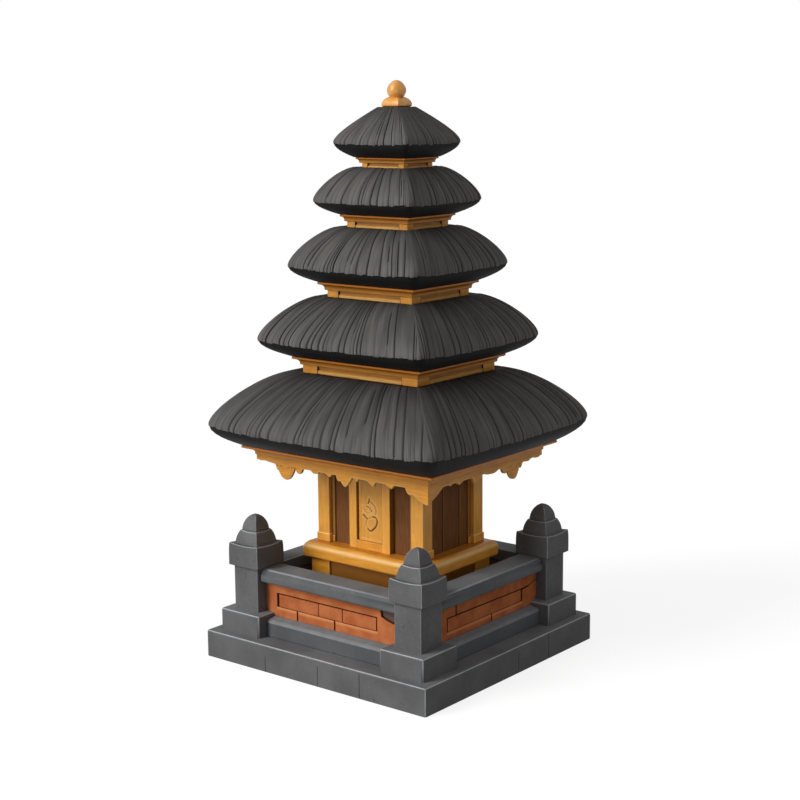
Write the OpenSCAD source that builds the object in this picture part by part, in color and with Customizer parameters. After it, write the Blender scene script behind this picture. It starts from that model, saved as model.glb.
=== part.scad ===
// Five-tiered meru tower shrine: a walled stone plinth, a timber chamber with one door,
// and five thatched roofs of falling size, each on its own neck. Millimetres, +Z up.
// The origin is the centre of the plinth's underside, and the door faces -Y.

/* [Plinth] */
// Width of the square stone plinth
plinth_w = 3430; // [3300:10:3650]
// Height of the plinth
plinth_h = 335; // [200:5:450]
// Bevel along the plinth's top edges
plinth_bevel = 24; // [6:1:40]

/* [Corner posts] */
// Width of the plinth's ledge outside the pedestals
plinth_ledge = 130; // [90:1:160]
// Width of a post's square pedestal
pedestal_w = 640; // [560:2:690]
// Height of a pedestal
pedestal_h = 275; // [225:1:320]
// Width of a post's square shaft
shaft_w = 388; // [340:2:440]
// Height of a shaft, from pedestal to cap block
shaft_h = 550; // [500:5:640]
// Width of the cap block on a shaft
cap_w = 484; // [445:1:520]
// Height of a cap block
cap_h = 290; // [200:1:320]
// Width of the tier on a cap block
tier_w = 340; // [280:1:400]
// Height of that tier
tier_h = 150; // [120:1:220]
// Width of the domed knob on top
knob_w = 222; // [160:1:260]
// Height of the knob
knob_h = 190; // [120:1:240]
// Bevel along the posts' edges
post_bevel = 26; // [6:1:40]

/* [Parapet walls] */
// How far a kerb's outer face stands outside the post centres
kerb_out = 185; // [160:1:260]
// Height of a kerb
kerb_h = 228; // [150:1:240]
// How far a brick panel's outer face stands outside the post centres
brick_out = 45; // [20:1:100]
// Thickness of a brick panel
brick_t = 210; // [100:1:220]
// How far a coping's outer face stands outside the post centres
coping_out = 150; // [110:1:190]
// Height of a coping
coping_h = 170; // [100:1:220]
// How far a coping's top edge leans in from its outer face
coping_lean = 40; // [0:1:60]

/* [Shrine base] */
// Width of the masonry base under the timber floor
base_w = 1640; // [1400:5:1700]
// Depth of the masonry base
base_d = 1240; // [1050:5:1300]
// Height of the masonry base
base_h = 600; // [500:5:760]
// Width of the timber underframe
underframe_w = 1752; // [1700:2:1850]
// Depth of the timber underframe
underframe_d = 1360; // [1300:2:1440]
// Height of the timber underframe
underframe_h = 258; // [140:1:300]
// Width of the underframe's corner blocks
underframe_block = 290; // [120:1:340]
// How far the underframe's panels stand back from its corner blocks
underframe_recess = 30; // [10:1:60]
// Width of the sill ledge that the chamber stands on
sill_w = 1938; // [1870:2:2040]
// Depth of the sill ledge
sill_d = 1520; // [1440:2:1600]
// Height of the sill ledge
sill_h = 195; // [120:1:240]
// Radius of the sill ledge's rounded edge
sill_round = 45; // [10:1:50]

/* [Chamber] */
// Width of the chamber over its corner columns
chamber_w = 1652; // [1560:2:1740]
// Depth of the chamber over its corner columns
chamber_d = 1204; // [1120:2:1290]
// Height of the chamber, from sill ledge to eaves
chamber_h = 1120; // [1000:5:1300]
// Width of a square corner column
column_w = 184; // [140:1:220]
// How far a column's foot stands out from the column
foot_out = 14; // [4:1:30]
// Height of a column's foot
foot_h = 110; // [60:1:160]
// How far the plank walls stand back from the columns' faces
wall_recess = 70; // [40:1:90]
// Thickness of the plank walls
wall_t = 60; // [30:1:80]
// Height of the head beams between the column tops
beam_h = 85; // [50:1:120]

/* [Door] */
// Width of the door leaf
leaf_w = 394; // [300:1:460]
// Thickness of the door leaf
leaf_t = 46; // [40:1:60]
// Gap between the leaf and its frame
leaf_gap = 5; // [5:0.5:10]
// How far the leaf stands back from the frame's face
leaf_recess = 30; // [10:1:40]
// Width of a door jamb
jamb_w = 116; // [80:1:160]
// Thickness of the door frame
frame_t = 120; // [110:1:150]
// Height of the threshold under the leaf
threshold_h = 102; // [60:1:200]
// Height of the frame's head
head_h = 70; // [60:1:120]
// Radius of the pins that the leaf turns on
pin_r = 12; // [8:0.5:16]
// Length of a pin inside the frame
pin_seat = 35; // [20:1:45]

/* [Eaves and valance] */
// Depth of the valance, eave boards and necks, as a share of their width
tier_depth = 0.865; // [0.82:0.005:0.95]
// Width over the valance boards
valance_w = 2656; // [2560:2:2760]
// Thickness of a valance board
valance_t = 45; // [20:1:80]
// Height of a valance board above its carved drops
valance_h = 60; // [40:1:120]
// How far the lowest eave board's foot stands out from the valance
valance_lip = 13; // [2:1:30]
// How far an upper eave board's foot stands out from its neck
neck_lip = 24; // [8:1:30]
// Width of the lowest roof's eave board
eave_w_1 = 2938; // [2836:2:3144]
// Width of the second roof's eave board
eave_w_2 = 1972; // [1902:2:2110]
// Width of the third roof's eave board
eave_w_3 = 1478; // [1426:2:1582]
// Width of the fourth roof's eave board
eave_w_4 = 1052; // [1016:2:1126]
// Width of the top roof's eave board
eave_w_5 = 750; // [724:2:802]
// Height of the lowest eave board
eave_h_1 = 115; // [60:1:160]
// Height of the second eave board
eave_h_2 = 100; // [50:1:130]
// Height of the third eave board
eave_h_3 = 99; // [50:1:130]
// Height of the fourth eave board
eave_h_4 = 82; // [40:1:110]
// Height of the top eave board
eave_h_5 = 65; // [40:1:110]

/* [Roofs] */
// Depth of a roof, as a share of its width
roof_depth = 0.947; // [0.92:0.001:1]
// Width of the lowest roof across its thatch
roof_w_1 = 3545; // [3295:5:3795]
// Width of the second roof
roof_w_2 = 2606; // [2425:5:2790]
// Width of the third roof
roof_w_3 = 2024; // [1880:5:2165]
// Width of the fourth roof
roof_w_4 = 1539; // [1430:1:1645]
// Width of the top roof
roof_w_5 = 1159; // [1080:1:1240]
// Height of the lowest roof, from eave board to neck
roof_h_1 = 895; // [750:1:1100]
// Height of the second roof
roof_h_2 = 720; // [600:1:900]
// Height of the third roof
roof_h_3 = 651; // [520:1:800]
// Height of the fourth roof
roof_h_4 = 548; // [450:1:700]
// Height of the top roof, from eave board to finial
roof_h_5 = 589; // [450:1:700]
// Share of a roof's height that lies under its widest line
thatch_edge = 0.28; // [0.2:0.005:0.4]
// Share of that lower part that the thatch's cut edge stands nearly upright
thatch_belly = 0.48; // [0.3:0.02:0.8]
// Share of the way from its seat to its widest line at which a lower roof's shoulder stands
thatch_shelf = 0.13; // [0.06:0.01:0.25]
// How far that shoulder stands over the neck's foot, as a share of the roof's height
thatch_crest = 0.03; // [0:0.005:0.06]
// Share of a roof's half width that rounds its corners
thatch_corner = 0.11; // [0.06:0.005:0.16]
// How far the thatch reaches past its eave board
thatch_lap = 30; // [5:1:40]
// How far the thatch reaches past the neck that stands on it
thatch_collar = 35; // [10:1:60]

/* [Necks] */
// Width of the first neck, over its corner blocks
neck_w_1 = 1770; // [1682:2:1876]
// Width of the second neck
neck_w_2 = 1296; // [1232:2:1374]
// Width of the third neck
neck_w_3 = 920; // [874:2:976]
// Width of the fourth neck
neck_w_4 = 638; // [606:2:676]
// Height of the first neck
neck_h_1 = 98; // [50:1:140]
// Height of the second neck
neck_h_2 = 85; // [50:1:140]
// Height of the third neck
neck_h_3 = 75; // [40:1:120]
// Height of the fourth neck
neck_h_4 = 60; // [40:1:120]
// Width of a neck's corner block, as a share of the neck's width
neck_block = 0.13; // [0.08:0.01:0.2]
// How far a neck's rails stand back from its corner blocks
neck_recess = 16; // [6:1:24]

/* [Finial] */
// Width of the finial's square foot
finial_w = 266; // [220:1:300]
// Height of the finial's foot
finial_h = 116; // [80:1:150]
// Radius of the finial's ball
ball_r = 115; // [90:1:130]

/* [Hidden] */

$fn = 48;
STONE = "dimgray";
BRICK = "sienna";
GOLD = "goldenrod";
PLANK = "saddlebrown";
THATCH = "#383634";

// Running clearance of a pin in its hole, and the air under a pin's end
pin_clear = 0.08;
pin_end_gap = 0.3;

// How far a fused shape or a cut runs past the face that it meets
fuse = 1;

// Distance between the centres of neighbouring corner posts
post_spacing = plinth_w - 2 * plinth_ledge - pedestal_w;

// The sizes of the tiers, from the lowest up
eave_w = [eave_w_1, eave_w_2, eave_w_3, eave_w_4, eave_w_5];
eave_h = [eave_h_1, eave_h_2, eave_h_3, eave_h_4, eave_h_5];
roof_w = [roof_w_1, roof_w_2, roof_w_3, roof_w_4, roof_w_5];
roof_h = [roof_h_1, roof_h_2, roof_h_3, roof_h_4, roof_h_5];
neck_w = [neck_w_1, neck_w_2, neck_w_3, neck_w_4];
neck_h = [neck_h_1, neck_h_2, neck_h_3, neck_h_4];

// Width and depth of a tier's timber and of a roof
function oblong(w) = [w, w * tier_depth];
function spread(w) = [w, w * roof_depth];
valance = oblong(valance_w);

// Levels of the base and the chamber
pedestal_top = plinth_h + pedestal_h;
shaft_top = pedestal_top + shaft_h;
cap_top = shaft_top + cap_h;
tier_top = cap_top + tier_h;
kerb_top = plinth_h + kerb_h;
coping_foot = shaft_top - coping_h;
base_top = plinth_h + base_h;
sill_foot = base_top + underframe_h;
floor_z = sill_foot + sill_h;
eaves_z = floor_z + chamber_h;
beam_foot = eaves_z - beam_h;

// Levels of the tiers: each eave board, its roof and the neck on it
function board_z(i) = i == 0 ? eaves_z : neck_z(i - 1) + neck_h[i - 1];
function roof_z(i) = board_z(i) + eave_h[i];
function neck_z(i) = roof_z(i) + roof_h[i];
finial_z = neck_z(4);

// The door: its opening, and the axis that its pins stand on
opening_w = leaf_w + 2 * leaf_gap;
opening_foot = floor_z + threshold_h;
opening_top = beam_foot - head_h;
leaf_foot = opening_foot + leaf_gap;
leaf_top = opening_top - leaf_gap;
frame_front = -chamber_d / 2;
hinge_x = -leaf_w / 2 + leaf_t / 2;
hinge_y = frame_front + leaf_recess + leaf_t / 2;

// A solid through stacked level rectangles, each [half width, half depth, height]
module tiers_of(rings) {
    n = len(rings);
    polyhedron(
        points = [
            for (r = rings)
                for (s = [[-1, -1], [1, -1], [1, 1], [-1, 1]])
                    [s[0] * r[0], s[1] * r[1], r[2]]
        ],
        faces = concat(
            [[0, 1, 2, 3], [for (i = [3:-1:0]) 4 * (n - 1) + i]],
            [
                for (k = [0:n - 2])
                    for (i = [0:3])
                        [4 * k + i, 4 * k + 4 + i, 4 * k + 4 + (i + 1) % 4, 4 * k + (i + 1) % 4]
            ]
        )
    );
}

// A square or oblong block whose top and foot edges are bevelled
module bevelled_block(w, d, z0, z1, top, foot = 0) {
    rings = concat(
        foot > 0 ? [[w / 2 - foot, d / 2 - foot, z0]] : [],
        [[w / 2, d / 2, z0 + foot], [w / 2, d / 2, z1 - top]],
        [[w / 2 - top, d / 2 - top, z1]]
    );
    tiers_of(rings);
}

// A plain block on the floor of its own span, centred across
module slab(w, d, z0, z1) {
    translate([-w / 2, -d / 2, z0]) cube([w, d, z1 - z0]);
}

// Places its children on all four sides of the tower, quarter turn by quarter turn
module each_side() {
    for (a = [0:90:270]) rotate([0, 0, a]) children();
}

// ---- Stone base and parapet ----

module plinth() {
    color(STONE) bevelled_block(plinth_w, plinth_w, 0, plinth_h, plinth_bevel);
}

// Runs an outline of [y, z] points along X, on the front side of the tower
module run_along_x(length, outline) {
    translate([-length / 2, 0, 0])
        rotate([90, 0, 90])
            linear_extrude(height = length) polygon(outline);
}

module kerbs() {
    outer = -post_spacing / 2 - kerb_out;
    inner = -post_spacing / 2 + shaft_w / 2;
    slope = kerb_out - brick_out;
    color(STONE) each_side() run_along_x(post_spacing - pedestal_w, [
        [outer, plinth_h],
        [inner, plinth_h],
        [inner, kerb_top],
        [outer + slope, kerb_top],
        [outer + slope / 5, kerb_top - slope / 8],
        [outer, kerb_top - slope / 3]
    ]);
}

module brick_panels() {
    outer = -post_spacing / 2 - brick_out;
    wide = (post_spacing - shaft_w) / 2;
    narrow = (post_spacing - pedestal_w) / 2;
    color(BRICK) each_side() translate([0, outer + brick_t, 0]) rotate([90, 0, 0])
        linear_extrude(height = brick_t) polygon([
            [-narrow, kerb_top],
            [narrow, kerb_top],
            [narrow, pedestal_top],
            [wide, pedestal_top],
            [wide, coping_foot],
            [-wide, coping_foot],
            [-wide, pedestal_top],
            [-narrow, pedestal_top]
        ]);
}

module copings() {
    outer = -post_spacing / 2 - coping_out;
    inner = -post_spacing / 2 + shaft_w / 2;
    color(STONE) each_side() run_along_x(post_spacing - shaft_w, [
        [outer, coping_foot],
        [inner, coping_foot],
        [inner, shaft_top],
        [outer + coping_lean, shaft_top],
        [outer, shaft_top - coping_h / 2]
    ]);
}

module at_post(side_x, side_y) {
    translate([side_x * post_spacing / 2, side_y * post_spacing / 2, 0]) children();
}

module post() {
    color(STONE) union() {
        bevelled_block(pedestal_w, pedestal_w, plinth_h, pedestal_top, post_bevel);
        slab(shaft_w, shaft_w, pedestal_top, shaft_top);
    }
}

module post_cap() {
    knob_top = tier_top + knob_h;
    color(STONE) union() {
        bevelled_block(cap_w, cap_w, shaft_top, cap_top, post_bevel, post_bevel);
        tiers_of([
            [tier_w / 2, tier_w / 2, cap_top],
            [tier_w / 2, tier_w / 2, tier_top - tier_h * 0.35],
            [tier_w * 0.46, tier_w * 0.46, tier_top - tier_h * 0.12],
            [tier_w * 0.4, tier_w * 0.4, tier_top]
        ]);
        tiers_of([
            [knob_w / 2, knob_w / 2, tier_top],
            [knob_w / 2, knob_w / 2, knob_top - knob_h * 0.5],
            [knob_w * 0.44, knob_w * 0.44, knob_top - knob_h * 0.24],
            [knob_w * 0.3, knob_w * 0.3, knob_top - knob_h * 0.06],
            [knob_w * 0.14, knob_w * 0.14, knob_top]
        ]);
    }
}

// ---- Shrine base ----

module inner_base() {
    color(STONE) slab(base_w, base_d, plinth_h, base_top);
}

module underframe() {
    block = underframe_block;
    color(GOLD) union() {
        slab(
            underframe_w - 2 * underframe_recess,
            underframe_d - 2 * underframe_recess,
            base_top, sill_foot
        );
        for (sx = [-1, 1]) for (sy = [-1, 1])
            translate([sx * (underframe_w - block) / 2, sy * (underframe_d - block) / 2, 0])
                slab(block, block, base_top, sill_foot);
    }
}

module sill_ledge() {
    r = sill_round;
    soft = r * (1 - sin(45));
    w = sill_w / 2;
    d = sill_d / 2;
    color(GOLD) tiers_of([
        [w - r, d - r, sill_foot],
        [w - soft, d - soft, sill_foot + soft],
        [w, d, sill_foot + r],
        [w, d, floor_z - r],
        [w - soft, d - soft, floor_z - soft],
        [w - r, d - r, floor_z]
    ]);
}

// ---- Chamber ----

module corner_columns() {
    foot_w = column_w + 2 * foot_out;
    color(GOLD) for (sx = [-1, 1]) for (sy = [-1, 1])
        translate([sx * (chamber_w - column_w) / 2, sy * (chamber_d - column_w) / 2, 0]) {
            slab(column_w, column_w, floor_z, eaves_z);
            bevelled_block(foot_w, foot_w, floor_z, floor_z + foot_h, foot_out);
        }
}

// A plank wall of a width and thickness, from the floor to the head beams
module plank_wall(x0, x1, y0, y1) {
    color(PLANK) translate([x0, y0, floor_z]) cube([x1 - x0, y1 - y0, beam_foot - floor_z]);
}

// Inside half sizes of the bay between two columns, and the walls' outer faces
bay_x = chamber_w / 2 - column_w;
bay_y = chamber_d / 2 - column_w;
wall_x = chamber_w / 2 - wall_recess;
wall_y = chamber_d / 2 - wall_recess;

module wall_front() {
    side = opening_w / 2 + jamb_w;
    difference() {
        union() {
            plank_wall(-bay_x, -side, -wall_y, -wall_y + wall_t);
            plank_wall(side, bay_x, -wall_y, -wall_y + wall_t);
        }
        column_feet();
    }
}

module wall_back() {
    difference() {
        plank_wall(-bay_x, bay_x, wall_y - wall_t, wall_y);
        column_feet();
    }
}

module wall_right() {
    difference() {
        plank_wall(wall_x - wall_t, wall_x, -bay_y, bay_y);
        column_feet();
    }
}

module wall_left() {
    difference() {
        plank_wall(-wall_x, -wall_x + wall_t, -bay_y, bay_y);
        column_feet();
    }
}

// The room that the columns' feet take up, for the walls' ends to be notched round
module column_feet() {
    foot_w = column_w + 2 * foot_out;
    for (sx = [-1, 1]) for (sy = [-1, 1])
        translate([sx * (chamber_w - column_w) / 2, sy * (chamber_d - column_w) / 2, 0])
            slab(foot_w, foot_w, floor_z - fuse, floor_z + foot_h);
}

module head_beams() {
    depth = wall_recess + wall_t;
    color(GOLD) for (s = [-1, 1]) {
        translate([0, s * (chamber_d - depth) / 2, 0])
            slab(2 * bay_x, depth, beam_foot, eaves_z);
        translate([s * (chamber_w - depth) / 2, 0, 0])
            slab(depth, 2 * bay_y, beam_foot, eaves_z);
    }
}

// ---- Door ----

module door_jambs() {
    color(GOLD) for (s = [-1, 1])
        translate([s * (opening_w + jamb_w) / 2, frame_front + frame_t / 2, 0])
            slab(jamb_w, frame_t, floor_z, beam_foot);
}

// A hole for one of the leaf's pins, open at level z0
module pin_hole(z0) {
    translate([hinge_x, hinge_y, z0])
        cylinder(r = pin_r + pin_clear, h = pin_seat + pin_end_gap);
}

module door_threshold() {
    color(GOLD) difference() {
        translate([0, frame_front + frame_t / 2, 0])
            slab(opening_w, frame_t, floor_z, opening_foot);
        pin_hole(opening_foot - pin_seat - pin_end_gap);
    }
}

module door_head() {
    color(GOLD) difference() {
        translate([0, frame_front + frame_t / 2, 0])
            slab(opening_w, frame_t, opening_top, beam_foot);
        pin_hole(opening_top);
    }
}

// The leaf's hinge edge is round about the pins, so that it turns close to its jamb
module door_leaf() {
    color(GOLD) union() {
        translate([hinge_x, hinge_y, leaf_foot]) cylinder(r = leaf_t / 2, h = leaf_top - leaf_foot);
        translate([hinge_x, hinge_y - leaf_t / 2, leaf_foot])
            cube([leaf_w - leaf_t / 2, leaf_t, leaf_top - leaf_foot]);
        translate([hinge_x, hinge_y, opening_foot - pin_seat])
            cylinder(r = pin_r, h = opening_top - opening_foot + 2 * pin_seat);
    }
}

// ---- Eaves and valance ----

// Carved drops of the valance: place as a share of half the valance's width or depth, half
// width and depth of the drop. The boards on opposite sides are alike.
front_drops = [
    [-0.66, 205, 200], [-0.42, 50, 36], [-0.29, 55, 30], [-0.12, 60, 44],
    [0.05, 120, 125], [0.2, 60, 36], [0.37, 95, 52], [0.57, 100, 40]
];
side_drops = [
    [-0.79, 66, 30], [-0.64, 48, 50], [-0.51, 48, 46], [-0.24, 92, 105],
    [-0.04, 106, 120], [0.2, 58, 40], [0.5, 205, 215], [0.76, 70, 30]
];
corner_drop = 170;
corner_reach = 300;

// One leaf-shaped drop, hanging from the board's lower edge
module drop_outline(half, depth) {
    polygon([
        [-half, fuse],
        [-half * 0.82, -depth * 0.22],
        [-half * 0.56, -depth * 0.3],
        [-half * 0.42, -depth * 0.62],
        [-half * 0.2, -depth * 0.7],
        [0, -depth],
        [half * 0.2, -depth * 0.7],
        [half * 0.42, -depth * 0.62],
        [half * 0.56, -depth * 0.3],
        [half * 0.82, -depth * 0.22],
        [half, fuse]
    ]);
}

// Half a leaf at the end of a board, so that two boards share a drop round their corner
module corner_outline(reach, depth) {
    polygon([
        [-reach, fuse],
        [-reach * 0.78, -depth * 0.2],
        [-reach * 0.55, -depth * 0.28],
        [-reach * 0.42, -depth * 0.6],
        [-reach * 0.2, -depth * 0.74],
        [-reach * 0.08, -depth],
        [0, -depth],
        [0, fuse]
    ]);
}

// A board that stands `out` in front of the tower's middle, with drops placed on a span and
// a corner drop at its +X end
module valance_board(length, span, out, drops, turned) {
    foot = eaves_z - valance_h;
    translate([0, valance_t - out, foot]) rotate([90, 0, 0])
        linear_extrude(height = valance_t) mirror([turned, 0]) union() {
            translate([-length / 2, 0]) square([length, valance_h]);
            for (d = drops) translate([d[0] * span / 2, 0]) drop_outline(d[1], d[2]);
            translate([length / 2, 0]) corner_outline(corner_reach, corner_drop);
        }
}

// The front and back boards run full width, and the side boards butt between them
module long_board() {
    color(GOLD) valance_board(valance[0], valance[0], valance[1] / 2, front_drops, 0);
}

module short_board() {
    mirrored = [for (d = side_drops) [-d[0], d[1], d[2]]];
    length = valance[1] - 2 * valance_t;
    color(GOLD) valance_board(length, valance[1], valance[0] / 2, mirrored, 1);
}

module valance_front() {
    long_board();
}

module valance_back() {
    rotate([0, 0, 180]) long_board();
}

module valance_right() {
    rotate([0, 0, 90]) short_board();
}

module valance_left() {
    rotate([0, 0, 270]) short_board();
}

// A board that spreads in a moulding from what carries it to the thatch
module eave_board(i) {
    carrier = i == 0 ? valance : oblong(neck_w[i - 1]);
    lip = i == 0 ? valance_lip : neck_lip;
    foot = [carrier[0] / 2 + lip, carrier[1] / 2 + lip, board_z(i)];
    top = [eave_w[i] / 2, eave_w[i] * tier_depth / 2, roof_z(i)];
    // A point of the moulding, by its shares of the board's spread and height
    function part_way(out, up) = [
        foot[0] + (top[0] - foot[0]) * out,
        foot[1] + (top[1] - foot[1]) * out,
        foot[2] + (top[2] - foot[2]) * up
    ];
    color(GOLD) tiers_of([
        foot, part_way(0.2, 0.3), part_way(0.8, 0.68), part_way(1, 0.8), top
    ]);
}

// ---- Thatched roofs ----

function cubic(a, b, c, d, t) =
    pow(1 - t, 3) * a + 3 * pow(1 - t, 2) * t * b + 3 * (1 - t) * t * t * c + pow(t, 3) * d;
function quadratic(a, b, c, t) = pow(1 - t, 2) * a + 2 * (1 - t) * t * b + t * t * c;

// Corners turn up by this share of the half width, and sides bow out by the next
thatch_lift = 0.02;
thatch_bow = 0.012;

// How the thatch sweeps in to its seat: the share of the spread at which the curve's last
// handle stands, and how far it hangs under the seat, for a lower roof and for the top one
thatch_sweep = [[0.43, 0.09], [0.24, 0.18]];
side_steps = 5;
corner_steps = 4;
upper_steps = 8;
lower_steps = 4;

// Half width and half depth of a roof's level seat, under the neck or finial that it carries
function seat(i) =
    (i < 4 ? oblong(neck_w[i]) : [finial_w, finial_w]) / 2 + [thatch_collar, thatch_collar];

// A roof's outline from its eave board, round its cut edge, up to its shoulder and down to its
// seat, as half width, half depth and height
function roof_profile(i) =
    let (
        wide = spread(roof_w[i]) / 2,
        foot = oblong(eave_w[i]) / 2 + [thatch_lap, thatch_lap],
        topmost = i == 4,
        top = seat(i) + (wide - seat(i)) * (topmost ? 0 : thatch_shelf),
        sweep = thatch_sweep[topmost ? 1 : 0],
        handle = top + (wide - top) * sweep[0],
        z0 = roof_z(i),
        z1 = z0 + roof_h[i] * thatch_edge,
        z2 = z0 + roof_h[i] * (topmost ? 1 : 1 + thatch_crest),
        rise = z2 - z1
    )
    concat(
        [
            for (k = [0:lower_steps - 1])
                quadratic(
                    [foot[0], foot[1], z0],
                    [wide[0], wide[1], z1 - (z1 - z0) * thatch_belly],
                    [wide[0], wide[1], z1],
                    k / lower_steps
                )
        ],
        [
            for (k = [0:upper_steps])
                cubic(
                    [wide[0], wide[1], z1],
                    [wide[0], wide[1], z1 + rise * 0.26],
                    [handle[0], handle[1], z2 - rise * sweep[1]],
                    [top[0], top[1], z2],
                    k / upper_steps
                )
        ],
        topmost ? [] : [[seat(i)[0], seat(i)[1], neck_z(i)]]
    );

// One side of a square level ring, from its left corner to its right, in the front's frame
function ring_side(half, z, lift) =
    let (
        r = half * thatch_corner,
        bow = half * thatch_bow,
        flat = half - bow - r
    )
    concat(
        [
            for (k = [0:side_steps - 1])
                let (u = 2 * k / side_steps - 1)
                [flat * u, -half + bow * u * u, z + lift * pow(u, 4)]
        ],
        [
            for (k = [0:corner_steps - 1])
                let (a = 90 * k / corner_steps)
                [flat + r * sin(a), -flat - r * cos(a), z + lift]
        ]
    );

function turned(p, a) = [p[0] * cos(a) - p[1] * sin(a), p[0] * sin(a) + p[1] * cos(a), p[2]];

// A level ring of the thatch, as wide and as deep as a point of the outline says
function roof_ring(p, lift) =
    [
        for (a = [0:90:270])
            for (q = ring_side(p[0], p[2], lift))
                let (t = turned(q, a))
                [t[0], t[1] * p[1] / p[0], t[2]]
    ];

// The corners lift only where the thatch is free of its board and its neck
function corner_lift(i, p) =
    let (
        z0 = roof_z(i),
        t = (p[2] - z0) / roof_h[i],
        edge = thatch_edge
    )
    roof_w[i] / 2 * thatch_lift * (t < edge ? t / edge : max(0, 1 - t) / (1 - edge));

module roof(i) {
    profile = roof_profile(i);
    rings = len(profile);
    n = 4 * (side_steps + corner_steps);
    points = [for (p = profile) each roof_ring(p, corner_lift(i, p))];
    color(THATCH) polyhedron(
        points = points,
        faces = concat(
            [[for (k = [0:n - 1]) k], [for (k = [n - 1:-1:0]) (rings - 1) * n + k]],
            [
                for (r = [0:rings - 2])
                    for (k = [0:n - 1])
                        let (a = r * n + k, b = r * n + (k + 1) % n)
                        each [[a, a + n, b + n], [a, b + n, b]]
            ]
        )
    );
}

// ---- Necks and finial ----

// A neck's rails lean out a little towards the thatch
module neck(i) {
    half = oblong(neck_w[i]) / 2;
    // A level rectangle of the rails, by its distance back and its share of the height
    function rail(back, up) = [half[0] - back, half[1] - back, neck_z(i) + neck_h[i] * up];
    color(GOLD) tiers_of([
        rail(neck_recess / 2, 0),
        rail(neck_recess / 2, 0.35),
        rail(neck_recess * 1.5, 0.6),
        rail(neck_recess * 1.5, 1)
    ]);
}

// Angle-shaped blocks that clasp a neck's corners
module neck_blocks() {
    color(GOLD) for (i = [0:3]) {
        size = oblong(neck_w[i]);
        b = neck_w[i] * neck_block;
        difference() {
            for (sx = [-1, 1]) for (sy = [-1, 1])
                translate([sx * (size[0] - b) / 2, sy * (size[1] - b) / 2, 0])
                    slab(b, b, neck_z(i), neck_z(i) + neck_h[i]);
            neck(i);
        }
    }
}

module finial() {
    w = finial_w / 2;
    z1 = finial_z + finial_h;
    color(GOLD) union() {
        tiers_of([
            [w * 0.9, w * 0.9, finial_z],
            [w, w, finial_z + finial_h * 0.2],
            [w, w, finial_z + finial_h * 0.36],
            [w * 0.86, w * 0.86, finial_z + finial_h * 0.62],
            [w * 0.55, w * 0.55, finial_z + finial_h * 0.86],
            [w * 0.5, w * 0.5, z1]
        ]);
        translate([0, 0, z1 + ball_r * 0.69]) sphere(r = ball_r);
    }
}

plinth();
kerbs();
brick_panels();
copings();
at_post(-1, -1) post();  // post_front_left
at_post(1, -1) post();  // post_front_right
at_post(1, 1) post();  // post_back_right
at_post(-1, 1) post();  // post_back_left
at_post(-1, -1) post_cap();  // post_cap_front_left
at_post(1, -1) post_cap();  // post_cap_front_right
at_post(1, 1) post_cap();  // post_cap_back_right
at_post(-1, 1) post_cap();  // post_cap_back_left
inner_base();
underframe();
sill_ledge();
corner_columns();
wall_front();
wall_right();
wall_back();
wall_left();
door_jambs();
door_head();
door_threshold();
door_leaf();
head_beams();
valance_front();
valance_right();
valance_back();
valance_left();
eave_board(0);  // eave_board_1
eave_board(1);  // eave_board_2
eave_board(2);  // eave_board_3
eave_board(3);  // eave_board_4
eave_board(4);  // eave_board_5
roof(0);  // roof_1
roof(1);  // roof_2
roof(2);  // roof_3
roof(3);  // roof_4
roof(4);  // roof_5
neck(0);  // neck_1
neck(1);  // neck_2
neck(2);  // neck_3
neck(3);  // neck_4
neck_blocks();
finial();
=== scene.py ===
"""A five-tiered meru shrine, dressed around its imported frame.

A walled stone plinth with four corner posts carries a gilded timber chamber with one carved
door, and five thatched roofs stand over it, each on its own neck. Sizes come from the frame's
nodes, or from named values in metres. +Z is up, and the door faces -Y.
"""

import logging
import math
import random
from bisect import bisect_left
from dataclasses import dataclass, field
from enum import Enum
from typing import Callable

import bmesh
import bpy
from mathutils import Matrix, Quaternion, Vector, noise

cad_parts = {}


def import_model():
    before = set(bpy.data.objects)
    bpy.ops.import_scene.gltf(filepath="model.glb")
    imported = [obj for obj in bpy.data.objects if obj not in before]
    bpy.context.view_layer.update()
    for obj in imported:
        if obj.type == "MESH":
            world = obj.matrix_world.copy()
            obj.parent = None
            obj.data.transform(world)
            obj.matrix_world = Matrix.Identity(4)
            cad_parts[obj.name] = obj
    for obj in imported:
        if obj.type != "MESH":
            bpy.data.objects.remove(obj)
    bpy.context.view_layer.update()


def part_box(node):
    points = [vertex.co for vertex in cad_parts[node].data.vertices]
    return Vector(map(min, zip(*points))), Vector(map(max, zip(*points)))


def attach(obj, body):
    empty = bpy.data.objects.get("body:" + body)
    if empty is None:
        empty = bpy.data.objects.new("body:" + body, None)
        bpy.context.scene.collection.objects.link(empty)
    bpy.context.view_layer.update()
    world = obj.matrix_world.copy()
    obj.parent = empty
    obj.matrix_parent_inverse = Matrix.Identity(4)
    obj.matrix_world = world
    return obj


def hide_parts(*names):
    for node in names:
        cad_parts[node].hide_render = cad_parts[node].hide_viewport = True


Point = tuple[float, float]
Ring = tuple[float, float, float]
Colour = tuple[float, float, float, float]
Node = bpy.types.Node
Socket = bpy.types.NodeSocket
Edge = bmesh.types.BMEdge
Face = bmesh.types.BMFace

NEAR = 1e-4
SIDES = ("front", "right", "back", "left")
CORNERS = ((-1, -1), (1, -1), (1, 1), (-1, 1))
TIERS = (1, 2, 3, 4, 5)

log = logging.getLogger("meru")


class Mark(Enum):
    """What a face is marked with, for its finish to read."""

    # Pale edges and strips: partly wear, partly painted highlight where light falls.
    WEAR_AND_HIGHLIGHT = "wear"
    TONE = "tone"
    # Painted shade: darkening in joints, recesses, carved strokes, slits and gaps, where shade falls.
    PAINTED_SHADE = "hollow"
    ACCENT = "accent"


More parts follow.
